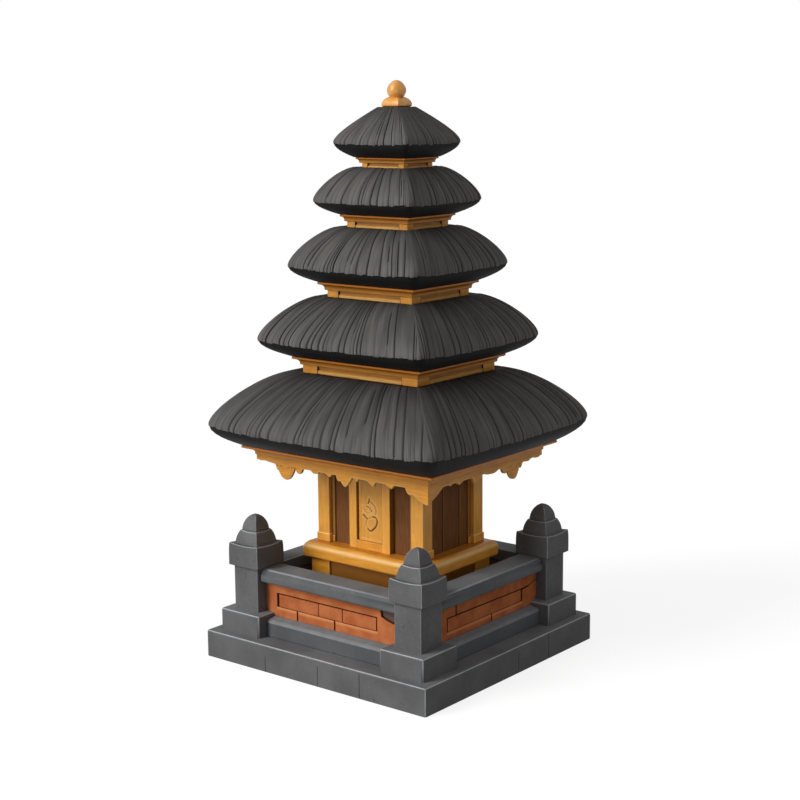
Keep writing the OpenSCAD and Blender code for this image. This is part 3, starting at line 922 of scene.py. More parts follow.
@dataclass
class Parapet:
    """Kerbs, brick panels and copings between the corner posts."""

    shaft: float = 0.388
    coping_lean: float = 0.04
    coping_rim: float = 0.018
    coping_side: float = 0.03
    coping_top_light_and_dust: float = 0.6
    kerb_rim: float = 0.014
    kerb_tone: float = -0.18
    kerb_top_light: float = 0.3
    brick_depth: float = 0.1
    brick_wear_and_highlight: float = 0.3
    joint_shade: float = 0.75
    lit_strips: tuple[Point, ...] = ((0.04, 0.4), (0.022, 0.8))
    backing: float = 0.05
    recess: float = 0.017
    side_recess: float = 0.011
    joint: float = 0.009
    seam: float = 0.018
    cut: float = 0.11

    def __post_init__(self) -> None:
        """Take half the bay between two shafts, and a panel's height, from the frame."""
        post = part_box("post_front_left")
        low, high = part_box("brick_panels")
        self.half = -(post[0].x + post[1].x) / 2 - self.shaft / 2
        self.tall = high.z - low.z

    def kerb(self) -> Shape:
        """Make the front kerb, with a top that slopes out."""
        low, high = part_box("kerbs")
        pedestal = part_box("post_front_left")[1].x
        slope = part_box("brick_panels")[0].y - low.y
        outline = (
            (low.y, low.z), (-self.half, low.z), (-self.half, high.z), (low.y + slope, high.z),
            (low.y + slope / 5, high.z - slope / 8), (low.y, high.z - slope / 3),
        )
        stone = Shape.pushed([Vector((pedestal, y, z)) for y, z in outline], Vector((-2 * pedestal, 0, 0)))
        stone.mark(Mark.TONE, self.kerb_tone)
        stone.soften(self.kerb_rim, 3, lambda edge: is_crisp(edge, 12.0), 0.0)
        # Painted light on the kerb's sloping top.
        return stone.mark(Mark.WEAR_AND_HIGHLIGHT, self.kerb_top_light, lambda face: face.normal.z > 0.3)

    def coping(self) -> Shape:
        """Make the front coping, whose face leans in at the top."""
        low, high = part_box("copings")
        outline = (
            (low.y, low.z), (-self.half, low.z), (-self.half, high.z), (low.y + self.coping_lean, high.z),
            (low.y, (low.z + high.z) / 2),
        )
        points = [Vector((-self.half, y, z)) for y, z in outline]
        stone = Shape.pushed(points, Vector((2 * self.half, 0, 0)))
        side, top = high.z - 0.05, high.z - 0.01
        stone.soften(
            self.coping_side, 3, lambda e: is_crisp(e, 20.0) and max(v.co.z for v in e.verts) < side, 0.0
        )
        stone.soften(
            self.coping_rim, 3, lambda e: is_crisp(e, 40.0) and min(v.co.z for v in e.verts) > top
        )
        return stone.top_light_and_dust(self.coping_top_light_and_dust)

    def ends(self) -> tuple[tuple[Point, ...], tuple[Point, ...]]:
        """Give a panel's cut lower corners: the near one from its side down, the far one back up."""
        half, cut = self.half, self.cut
        near = ((0.0, 0.12), (0.15, 0.06), (0.6, 0.025), (1.3, 0.0))
        far = ((1.3, 0.0), (0.6, 0.02), (0.15, 0.06), (0.0, 0.12))
        return tuple((x * cut - half, z) for x, z in near), tuple((half - x * cut, z) for x, z in far)

    def long_courses(self) -> list[Brick]:
        """Lay out the front and back panels: a chipped frame round a sunk row, with a joint below."""
        half, top, gap, seam = self.half, self.tall, self.joint, self.seam
        near, far = self.ends()
        row, roof = 0.127, 0.298
        left, right, first, last = -0.888, 0.692, -0.558, 0.037
        frame = (
            (first - gap, 0.0), (first - gap, row), (left, row), (left, roof), (right, roof), (right, row),
            (last + gap, row), (last + gap, 0.0), *far, (half, 0.16), (0.94, 0.262), (0.84, 0.286),
            (0.757, 0.318), (0.741, top), (-half, top), *near,
        )
        chip = ((0.747, top), (0.764, 0.324), (0.843, 0.294), (0.94, 0.27), (half, 0.168), (half, top))
        middle = ((first + gap, 0.0), (last - gap, 0.0), (last - gap, row), (first + gap, row))
        bricks = [
            Brick(frame, lit=row), Brick(middle, tone=0.03, lit=row),
            Brick(chip, 0.026, -0.1, 0.004, chipped=True),
        ]
        joints = (left + seam, -0.227, 0.15, right - seam)
        for start, end, tone in zip(joints, joints[1:], (-0.03, 0.02, -0.01)):
            foot, over, end = row - 0.04, roof - seam, end - 0.01
            outline = ((start, foot), (end, foot), (end, over), (start, over))
            bricks.append(Brick(outline, self.recess, tone, 0.003))
        return bricks

    def short_courses(self) -> list[Brick]:
        """Lay out the side panels: three frame bricks round one sunk brick."""
        half, top, gap, seam = self.half, self.tall, self.joint, self.seam
        near_end, far_end = self.ends()
        row, roof = 0.095, 0.268
        left, right, rim, foot = -0.777, 0.757, -0.598, 0.115
        near = (
            (foot - gap, 0.0), (foot - gap, row), (left, row), (left, roof), (rim - gap, roof),
            (rim - gap, top), (-half, top), *near_end,
        )
        over = (
            (rim + gap, roof), (right, roof - 0.012), (0.915, roof - 0.002), (half, 0.31), (half, top),
            (rim + gap, top),
        )
        far = (
            (foot + gap, 0.0), *far_end, (half, 0.294), (0.915, roof - 0.02), (right + gap, roof - 0.03),
            (right + gap, row), (foot + gap, row),
        )
        start, end, sill = left + 1.6 * seam, right - gap, row - 0.04
        sunk = ((start, sill), (end, sill), (end, roof - seam - 0.01), (start, roof - seam))
        return [
            Brick(near, lit=row), Brick(over, tone=-0.06), Brick(far, tone=0.02, lit=row),
            Brick(sunk, self.side_recess, -0.02, 0.003),
        ]

    def laid(self, brick: Brick, foot: Vector) -> Shape:
        """Make one brick of the front side.

        Args:
            brick: Its layout.
            foot: The lowest corner of the panels, for their face and their foot.

        Returns:
            The brick, with shaded joints and a rubbed rim.
        """
        face, lit = foot.y + brick.back, foot.z + brick.lit
        inner, top = self.half - 0.16, foot.z + self.tall - 0.02

        def in_joint(side: Face) -> bool:
            """Tell whether a side of the brick stands in a joint."""
            middle = side.calc_center_median()
            return abs(side.normal.y) < 0.3 and abs(middle.x) < inner and middle.z < top

        points = [Vector((x, face, foot.z + z)) for x, z in brick.outline]
        shape = Shape.pushed(points, Vector((0, self.brick_depth, 0)))
        shape.mark(Mark.TONE, brick.tone).mark(Mark.PAINTED_SHADE, self.joint_shade, in_joint)
        for width, amount in self.lit_strips:
            shape.pale_edge(face, lit, width, amount)
        # The front rims are pale from wear and painted highlight.
        shape.soften(
            brick.rim, 3, lambda e: is_crisp(e) and all(abs(v.co.y - face) < NEAR for v in e.verts),
            self.brick_wear_and_highlight,
        )
        return shape.mark(Mark.ACCENT, 1.0) if brick.chipped else shape

    def brickwork(self, side: int) -> list[Shape]:
        """Make the bricks of one side at the front, before a backing whose front is darkened as painted
        shade in the joints.

        Args:
            side: The side's number.

        Returns:
            The bricks and their backing.
        """
        low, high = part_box("brick_panels")
        courses = self.short_courses() if side % 2 else self.long_courses()
        near, far = (-self.half, low.y + self.backing, low.z), (self.half, -self.half, high.z)
        backing = Shape.box(Vector(near), Vector(far))
        backing.mark(Mark.TONE, -0.2).mark(Mark.ACCENT, 1.0)
        # Painted shade: the backing's front shows dark through the joints.
        backing.mark(Mark.PAINTED_SHADE, 1.0, lambda face: face.normal.y < -0.5)
        return [self.laid(brick, low) for brick in courses] + [backing]

    def build(self, palette: Palette) -> None:
        """Build all four sides and dress them.

        Args:
            palette: The shrine's coats.
        """
        assemble("kerb_stones", "kerbs", [self.kerb().turn(side) for side in range(4)], palette.ledge)
        bricks = [shape.turn(side) for side in range(4) for shape in self.brickwork(side)]
        assemble("brick_courses", "brick_panels", bricks, palette.brick)
        assemble("coping_stones", "copings", [self.coping().turn(side) for side in range(4)], palette.ledge)


@dataclass
class CornerPost:
    """A stone post: pedestal, shaft, and a stepped cap with a domed knob.

    A bell is a dome's profile, as shares of its half width and of its height.
    """

    name: str
    shaft: float = 0.388
    pedestal_top: float = 0.61
    pedestal_corner: float = 0.03
    pedestal_top_light_and_dust: float = 0.55
    cap_height: float = 0.29
    cap_top_light_and_dust: float = 0.2
    cap_cuts: int = 5
    cap_foot: float = 0.045
    tier: float = 0.34
    tier_height: float = 0.15
    knob: float = 0.222
    dome_tone: float = 0.22
    rim: float = 0.022
    ear: float = 0.02
    draw: float = 0.035
    tier_bell: tuple[Point, ...] = (
        (1.06, 0.0), (1.06, 0.1), (1.04, 0.28), (1.0, 0.48), (0.94, 0.68), (0.87, 0.86), (0.83, 0.95),
        (0.79, 1.0),
    )
    knob_bell: tuple[Point, ...] = (
        (1.08, 0.0), (1.06, 0.2), (1.0, 0.38), (0.91, 0.54), (0.79, 0.68), (0.65, 0.8), (0.48, 0.9),
        (0.3, 0.965), (0.1, 1.0),
    )

    def raised(self, half: float, low: float, high: float, ear: float) -> Callable[[Vector], Vector]:
        """Give a rule that lifts and draws in a block's top corners, so that its rims sag between them.

        Args:
            half: Half the block's width.
            low: The level of its foot.
            high: The level of its top.
            ear: How far its corners rise.

        Returns:
            The rule, for a point of the block.
        """

        def rule(point: Vector) -> Vector:
            """Move one point by how near it lies to a top corner.

            Args:
                point: The point.

            Returns:
                Where it comes to lie.
            """
            reach = (abs(point.x) / half) ** 2 * (abs(point.y) / half) ** 2
            share = max(0.0, (point.z - low) / (high - low))
            near = 1 - self.draw * share ** 6 * reach
            return Vector((point.x * near, point.y * near, point.z + ear * reach * share ** 2))

        return rule

    def cap(self) -> list[Shape]:
        """Make the cap block, the tier and the knob, about the origin."""
        low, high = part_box(f"post_cap_{self.name}")
        foot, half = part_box(f"post_{self.name}")[1].z, (high.x - low.x) / 2
        top = foot + self.cap_height - self.ear
        tier_top = foot + self.cap_height + self.tier_height
        block = Shape.box(Vector((-half, -half, foot)), Vector((half, half, top)), self.cap_cuts)
        block.soften(0.014, 3, lambda edge: is_upright(edge) and is_crisp(edge), 0.8)
        block.soften(0.02, 3, lambda edge: is_rim(edge) and edge.verts[0].co.z > top - 0.01)
        block.soften(self.cap_foot, 4, lambda edge: is_rim(edge) and edge.verts[0].co.z < foot + 0.01, 0.0)
        block.top_light_and_dust(self.cap_top_light_and_dust).move(self.raised(half, foot, top, self.ear))
        tier = self.dome(self.tier / 2, top - 0.01, tier_top, self.tier_bell, self.ear * 0.6)
        return [block, tier, self.dome(self.knob / 2, tier_top - 0.02, high.z, self.knob_bell, 0.0)]

    def dome(self, half: float, foot: float, top: float, bell: tuple[Point, ...], ear: float) -> Shape:
        """Make a square stone whose sides draw in towards its top.

        Args:
            half: Half its width.
            foot: Its lowest level.
            top: Its highest level.
            bell: Its profile.
            ear: How far its top corners rise over its top.

        Returns:
            The stone.
        """
        top -= ear
        rings = [(half * width, half * width, foot + (top - foot) * rise) for width, rise in bell]
        stone = Shape.tiers(rings, 5).smooth().mark(Mark.TONE, self.dome_tone)
        if ear:
            # A pale line round the top rim: wear and painted highlight.
            rim = foot + (top - foot) * 0.93
            stone.mark(Mark.WEAR_AND_HIGHLIGHT, 0.85, lambda f: f.calc_center_median().z > rim and f.normal.z < 0.9)
        stone.soften(0.009, 3, is_hip, 0.7)
        return stone.move(self.raised(half * bell[-1][0], foot, top, ear)) if ear else stone

    def build(self, palette: Palette) -> None:
        """Build the post and its cap and dress them.

        Args:
            palette: The shrine's coats.
        """
        low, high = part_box(f"post_{self.name}")
        centre, half = ((low + high) / 2).xy.to_3d(), self.shaft / 2
        pedestal = Shape.block(
            low, Vector((high.x, high.y, self.pedestal_top)), self.pedestal_corner, self.rim, False
        ).top_light_and_dust(self.pedestal_top_light_and_dust)
        shaft = Shape.block(
            Vector((-half, -half, self.pedestal_top)), Vector((half, half, high.z)), 0.01, 0.004
        )
        shaft.mark(Mark.WEAR_AND_HIGHLIGHT, 0.25, lambda face: face.smooth).shift(centre)
        assemble(f"post_stone_{self.name}", f"post_{self.name}", [pedestal, shaft], palette.stone)
        stones = [shape.shift(centre) for shape in self.cap()]
        assemble(f"cap_stone_{self.name}", f"post_cap_{self.name}", stones, palette.stone)


# ---- Shrine base and chamber ----


@dataclass
class ShrineBase:
    """The masonry base, the timber underframe on it, and the rounded sill ledge."""

    rows: int = 3
    row_tone: float = 0.03
    block: float = 0.29
    recess: float = 0.03
    gap: float = 0.012
    sill_round: float = 0.085
    sill_curl: float = 0.35
    sill_corner: float = 0.045
    arc_steps: int = 12

    def courses(self, palette: Palette) -> None:
        """Build the base from courses of stone.

        Args:
            palette: The shrine's coats.
        """
        low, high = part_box("inner_base")
        step = (high.z - low.z) / self.rows
        stones = []
        for row in range(self.rows):
            foot, top = low.z + step * row, low.z + step * (row + 1)
            stone = Shape.block(Vector((*low.xy, foot)), Vector((*high.xy, top)), 0.02, 0.01)
            stones.append(stone.mark(Mark.TONE, self.row_tone * (1 - row)))
        assemble("base_courses", "inner_base", stones, palette.stone)

    def underframe(self, palette: Palette) -> None:
        """Build the underframe: light corner blocks, with boards set back between them that are darkened as
        painted shade under the sill.

        Args:
            palette: The shrine's coats.
        """
        low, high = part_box("underframe")
        inset = Vector((self.recess, self.recess, 0.0))
        # A dark core, as painted shade behind the boards.
        timbers = [Shape.box(low + inset * 1.6, high - inset * 1.6).mark(Mark.PAINTED_SHADE, 1.0)]
        top = Vector((0.0, 0.0, self.gap))
        set_in = Vector((self.block + self.gap / 2, self.recess, 0.0))
        for by in (set_in, set_in.yxz):
            board = Shape.block(low + by, high - by - top, 0.004, 0.004)
            # Painted shade under the sill darkens the boards.
            timbers.append(board.mark(Mark.PAINTED_SHADE, 0.4).mark(Mark.ACCENT, 0.7))
        size = Vector((self.block, self.block, high.z - low.z - self.gap))
        for signs in CORNERS:
            corner = corner_of(low, high, self.block, signs)
            timbers.append(Shape.block(corner, corner + size, 0.01, 0.008).mark(Mark.TONE, 0.05))
        assemble("underframe_timbers", "underframe", timbers, palette.gilt_level)

    def sill(self, palette: Palette) -> None:
        """Build the sill, with a painted highlight on its rounded shoulder.

        Args:
            palette: The shrine's coats.
        """
        low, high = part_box("sill_ledge")
        arc = [math.pi / 2 * step / self.arc_steps for step in range(self.arc_steps + 1)]
        shoulder = [
            (self.sill_round * (1 - math.sin(turn)), self.sill_round * (1 - math.cos(turn))) for turn in arc
        ]
        foot = [(self.sill_curl * back, self.sill_curl * rise) for back, rise in shoulder]
        rings = [(high.x - back, high.y - back, low.z + rise) for back, rise in foot]
        rings += [(high.x - back, high.y - back, high.z - rise) for back, rise in reversed(shoulder)]
        ledge = Shape.tiers(rings).smooth()
        ledge.soften(self.sill_corner, 5, lambda edge: is_hip(edge, high.x - high.y), 0.0)
        wear = ledge.layer(Mark.WEAR_AND_HIGHLIGHT)
        # Painted highlight: a soft bright band just below the top edge.
        for face in ledge.mesh.faces:
            if 0.02 < face.normal.z < 0.98:
                face[wear] = 0.62 * hump(face.normal.z - 0.42, 0.26)
        ledge.mark(Mark.ACCENT, 0.3, lambda face: face.normal.z > 0.95)
        assemble("sill_moulding", "sill_ledge", [ledge], palette.gilt_level)

    def build(self, palette: Palette) -> None:
        """Build the base's pieces and dress them.

        Args:
            palette: The shrine's coats.
        """
        self.courses(palette)
        self.underframe(palette)
        self.sill(palette)


@dataclass
class Chamber:
    """Gilded corner columns with dark plank walls between them, under head beams.

    Boards are given by their edges, as shares of a wall's length.
    """

    column: float = 0.184
    foot_out: float = 0.014
    foot_height: float = 0.11
    batten: float = 0.052
    batten_shade: float = 0.68
    stub_height: float = 0.085
    beam_depth: float = 0.13
    plank_gap: float = 0.01
    plank_corner: float = 0.019
    plank_play: float = 0.006
    plank_tones: Point = (-0.18, 0.12)
    core_inset: float = 0.02
    bay_boards: tuple[float, ...] = (0.0, 1.0)
    side_boards: tuple[float, ...] = (0.0, 0.362, 0.763, 1.0)
    back_boards: tuple[float, ...] = (0.0, 0.22, 0.4, 0.61, 0.8, 1.0)

    def columns(self, palette: Palette) -> None:
        """Build the four columns, their feet and the battens beside them.

        Args:
            palette: The shrine's coats.
        """
        low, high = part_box("corner_columns")
        out = Vector((self.foot_out, self.foot_out, 0.0))
        low, high = low + out, high - out
        size = Vector((self.column, self.column, high.z - low.z))
        shapes: list[Shape] = []
        for signs in CORNERS:
            corner = corner_of(low, high, self.column, signs)
            foot_top = corner + Vector((self.column, self.column, self.foot_height)) + out
            shapes.append(Shape.block(corner, corner + size, 0.01, 0.004))
            shapes.append(Shape.block(corner - out, foot_top, 0.014, 0.02).mark(Mark.TONE, 0.04))
            shapes += self.strip(corner, signs, True) + self.strip(corner, signs, False)
        assemble("gilded_columns", "corner_columns", shapes, palette.gilt_upright)

    def strip(self, corner: Vector, signs: tuple[int, int], on_long: bool) -> list[Shape]:
        """Make the batten, darkened as painted shade, and its stub between a column and one of the walls
        beside it.

        Args:
            corner: The column's lowest corner.
            signs: Which side the column stands on along X and along Y.
            on_long: Whether the wall runs along X.

        Returns:
            The batten and its stub.
        """
        if not on_long:
            corner, signs = corner.yxz, signs[::-1]
        inward, outward = signs
        start = corner.x + (self.column if inward < 0 else -self.batten)
        face = corner.y + (0.05 if outward < 0 else self.column - 0.09)
        push = -0.01 if outward < 0 else 0.0
        foot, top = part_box("corner_columns")[0].z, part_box("head_beams")[0].z
        corners = (
            (start, face, foot), (start + self.batten, face + 0.04, top), (start, face + push, foot),
            (start + self.batten - 0.006, face + push + 0.05, foot + self.stub_height),
        )
        ends = [Vector(end) if on_long else Vector(end).yxz for end in corners]
        batten, stub = Shape.block(*ends[:2], 0.005, 0.004), Shape.block(*ends[2:], 0.008, 0.012)
        return [batten.mark(Mark.PAINTED_SHADE, self.batten_shade), stub.mark(Mark.TONE, -0.05)]

    def planks(self, low: Vector, high: Vector, shares: tuple[float, ...], seed: int) -> list[Shape]:
        """Fill a wall with upright planks, over a dark core that shows in the joints as painted shade.

        Args:
            low: The wall's lowest corner.
            high: The wall's highest corner.
            shares: The planks' edges.
            seed: Sets how the planks differ.

        Returns:
            The planks.
        """
        dice = random.Random(seed)
        along = 0 if high.x - low.x > high.y - low.y else 1
        across = Vector((along, 1 - along, 0))
        boards: list[Shape] = []
        for first, last in zip(shares, shares[1:]):
            back = across * dice.uniform(0.0, self.plank_play)
            start, end = low + back, high - back
            start[along] = low[along] + (high[along] - low[along]) * first + self.plank_gap
            end[along] = low[along] + (high[along] - low[along]) * last - self.plank_gap
            board = Shape.block(start, end, self.plank_corner, 0.003)
            boards.append(board.mark(Mark.TONE, dice.uniform(*self.plank_tones)))
        # Painted shade: a dark core that shows between the planks.
        core = Shape.box(low + across * self.core_inset, high - across * self.core_inset)
        return boards + [core.mark(Mark.PAINTED_SHADE, 1.0)]

    def walls(self, palette: Palette) -> None:
        """Build the plank walls on all four sides, the left like the right seen in a mirror.

        Args:
            palette: The shrine's coats.
        """
        low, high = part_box("wall_front")
        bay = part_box("door_jambs")
        boards = self.planks(low, Vector((bay[0].x, high.y, high.z)), self.bay_boards, 3)
        boards += self.planks(Vector((bay[1].x, low.y, low.z)), high, self.bay_boards, 4)
        assemble("planks_front", "wall_front", boards, palette.plank)
        mirrored = tuple(1 - share for share in reversed(self.side_boards))
        for number, shares in enumerate((self.side_boards, self.back_boards, mirrored), 1):
            node = f"wall_{SIDES[number]}"
            boards = self.planks(*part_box(node), shares, 9 + number)
            assemble(f"planks_{SIDES[number]}", node, boards, palette.plank)

    def beams(self, palette: Palette) -> None:
        """Build the head beams between the column tops.

        Args:
            palette: The shrine's coats.
        """
        low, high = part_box("head_beams")
        shapes: list[Shape] = []
        for sign in (-1, 1):
            y0, y1 = sorted(((high.y - self.beam_depth) * sign, high.y * sign))
            x0, x1 = sorted(((high.x - self.beam_depth) * sign, high.x * sign))
            for start, end in (
                ((low.x + self.column, y0, low.z), (high.x - self.column, y1, high.z)),
                ((x0, low.y + self.column, low.z), (x1, high.y - self.column, high.z)),
            ):
                shapes.append(Shape.block(Vector(start), Vector(end), 0.006, 0.01))
        assemble("head_timbers", "head_beams", shapes, palette.gilt_level)

    def build(self, palette: Palette) -> None:
        """Build the chamber and dress it.

        Args:
            palette: The shrine's coats.
        """
        self.columns(palette)
        self.walls(palette)
        self.beams(palette)


@dataclass(frozen=True)
class Stroke:
    """One carved line on the door leaf, as points across and up from its middle, in metres."""

    points: tuple[Point, ...]
    width: float = 0.0105
    depth: float = 0.011

    def distance(self, x: float, z: float) -> float:
        """Give the distance from a point to the line.

        Args:
            x: The point's place across.
            z: Its place upwards.

        Returns:
            The distance.
        """
        spot = Vector((x, z))
        best = 1.0
        for first, last in zip(self.points, self.points[1:]):
            a, b = Vector(first), Vector(last)
            share = clamped((spot - a).dot(b - a) / (b - a).length_squared)
            best = min(best, (spot - a.lerp(b, share)).length)
        return best


@dataclass
class Door:
    """The door frame, and the leaf that turns on its pins and carries a carved flame over a leaf."""

    bead: float = 0.008
    jamb_shade: float = 0.62
    leaf_step: float = 0.005
    pin_seat: float = 0.04
    pin: float = 0.012
    rim: float = 0.026
    sunk: float = 0.004
    slope: float = 0.006
    relief: Point = (-0.012, 0.003)
    strokes: tuple[Stroke, ...] = (
        Stroke(((-0.024, 0.096), (-0.031, 0.07), (-0.043, 0.041)), 0.009),
        Stroke(
            ((-0.004, 0.063), (0.032, 0.036), (0.063, 0.009), (0.078, -0.035), (0.071, -0.076)), 0.011, 0.004
        ),
        Stroke(((-0.068, 0.001), (-0.032, -0.011), (-0.008, -0.027), (0.01, -0.053)), 0.008, 0.008),
        Stroke(
            ((-0.118, -0.008), (-0.105, -0.035), (-0.097, -0.066), (-0.065, -0.078), (-0.029, -0.079)),
            0.008, 0.003,
        ),
        Stroke(((-0.12, -0.113), (-0.093, -0.137), (-0.062, -0.154))),
        Stroke(((-0.062, -0.154), (-0.03, -0.145), (0.0, -0.13), (0.029, -0.12)), 0.007, 0.003),
        Stroke((
            (0.029, -0.12), (0.061, -0.118), (0.086, -0.138), (0.096, -0.168), (0.087, -0.206),
            (0.068, -0.241), (0.031, -0.279), (-0.01, -0.307), (-0.032, -0.297), (-0.046, -0.281),
        )),
        Stroke(
            ((-0.062, -0.154), (-0.08, -0.19), (-0.084, -0.226), (-0.06, -0.265), (-0.046, -0.281)),
            0.008, 0.003,
        ),
    )

    def frame(self, palette: Palette) -> None:
        """Build the jambs, the threshold and the head.

        Args:
            palette: The shrine's coats.
        """
        low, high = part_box("door_jambs")
        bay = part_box("door_threshold")
        jambs = [
            Shape.block(low, Vector((bay[0].x, high.y, high.z)), self.bead, 0.004),
            Shape.block(Vector((bay[1].x, low.y, low.z)), high, self.bead, 0.004),
        ]
        for jamb in jambs:
            jamb.mark(Mark.PAINTED_SHADE, self.jamb_shade, lambda face: abs(face.normal.x) > 0.9)
        assemble("jamb_mouldings", "door_jambs", jambs, palette.gilt_upright)
        for node, name in (("door_threshold", "threshold_rail"), ("door_head", "head_rail")):
            low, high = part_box(node)
            rail = Shape.block(low + Vector((0, 0.004, 0)), high, 0.003, 0.007)
            assemble(name, node, [rail], palette.gilt_level)

    def carved(self, x: float, z: float) -> tuple[float, float, float]:
        """Give the carving's height, and its painted shade and painted highlight at a point of the leaf.

        Args:
            x: The point's place across.
            z: Its place upwards.

        Returns:
            The height, and the two shares from 0 to 1.
        """
        height, hollow, wear_and_highlight_share = 0.0, 0.0, 0.0
        for stroke in self.strokes:
            away = stroke.distance(x, z)
            cut, swell = hump(away, stroke.width), hump(away - 2.1 * stroke.width, 1.3 * stroke.width)
            height += stroke.depth * (0.3 * swell - cut)
            hollow = max(hollow, cut * min(1.0, stroke.depth / 0.009))
            wear_and_highlight_share = max(wear_and_highlight_share, 0.2 * swell)
        return max(self.relief[0], min(self.relief[1], height)), hollow, wear_and_highlight_share * (1 - hollow)

    def leaf(self, palette: Palette) -> None:
        """Build the leaf with its carved face, its round heel and its pins.

        Args:
            palette: The shrine's coats.
        """
        low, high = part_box("door_leaf")
        foot, top = low.z + self.pin_seat, high.z - self.pin_seat
        thick = high.y - low.y
        heel = low.x + thick / 2
        wide, tall = high.x - heel, top - foot
        centre = Vector(((low.x + high.x) / 2, low.y, (foot + top) / 2))
        slab = Shape()
        mesh = slab.mesh
        columns, rows = round(wide / self.leaf_step), round(tall / self.leaf_step)
        bmesh.ops.create_grid(mesh, x_segments=columns, y_segments=rows, size=0.5)
        middle = (heel + high.x) / 2
        slab.move(lambda spot: Vector((middle + spot.x * wide, low.y, centre.z + spot.y * tall)))
        slab.thicken(Vector((0, thick, 0)))
        hollow, tone, wear = (slab.layer(mark) for mark in (Mark.PAINTED_SHADE, Mark.TONE, Mark.WEAR_AND_HIGHLIGHT))
        for face in mesh.faces:
            spot = face.calc_center_median()
            # Painted shade, darker towards the top of the leaf.
            face[tone] = -0.1 - 0.38 * clamped((spot.z - centre.z) / (top - centre.z)) ** 0.8
            # Painted shade in the strokes and along the sunk panel's edge, painted highlight on the swells
            # beside the strokes.
            if spot.y < low.y + NEAR:
                _, cut, face[wear] = self.carved(spot.x - centre.x, spot.z - centre.z)
                face[hollow] = max(0.3 * hump(high.x - spot.x - self.rim, self.slope), 0.85 * cut)
        for vert in mesh.verts:
            spot = vert.co
            inside = min(spot.x - heel, high.x - spot.x, spot.z - foot, top - spot.z)
            if spot.y < low.y + NEAR and inside > 0.001:
                sunk = self.sunk * (1 + clamped((inside - self.rim + self.sunk) / self.slope))
                spot.y += sunk - self.carved(spot.x - centre.x, spot.z - centre.z)[0]
        axis = Vector((heel, low.y + thick / 2, 0))
        turning = Shape.rod(axis + Vector((0, 0, foot)), thick / 2 - 0.0005, tall)
        pins = Shape.rod(axis + Vector((0, 0, low.z)), self.pin, high.z - low.z)
        shapes = [slab.smooth(), turning, pins]
        assemble("carved_leaf", "door_leaf", shapes, palette.gilt_upright, 50, Body.DOOR)

    def build(self, palette: Palette) -> None:
        """Build the door and dress it.

        Args:
            palette: The shrine's coats.
        """
        self.frame(palette)
        self.leaf(palette)


# ---- Eaves ----


class Cut(Enum):
    """How a carved leaf's edge falls away from its tip: the powers of its curve."""

    POINT = (0.0, 0.0)
    LOBE = (2.0, 0.5)
    PENDANT = (2.2, 0.8)
    CORNER = (1.4, 1.0)

    def fall(self, share: float) -> float:
        """Give the leaf's depth, as a share, at a share of its reach from the tip.

        Args:
            share: The share of the reach.

        Returns:
            The share of the depth.
        """
        if not 0.0 <= share < 1.0:
            return 0.0
        if self is Cut.POINT:
            return 1 - math.sin(share * math.pi / 2)
        first, second = self.value
        return (1 - share ** first) ** second


@dataclass(frozen=True)
class Leaf:
    """One carved leaf of a board's lower edge: its tip, its reach to the left and right, its depth."""

    place: float
    left: float
    right: float
    depth: float
    cut: Cut = Cut.POINT

    def at(self, along: float) -> float:
        """Give the leaf's depth at a place along the board."""
        away = along - self.place
        return self.depth * self.cut.fall(-away / self.left if away < 0 else away / self.right)


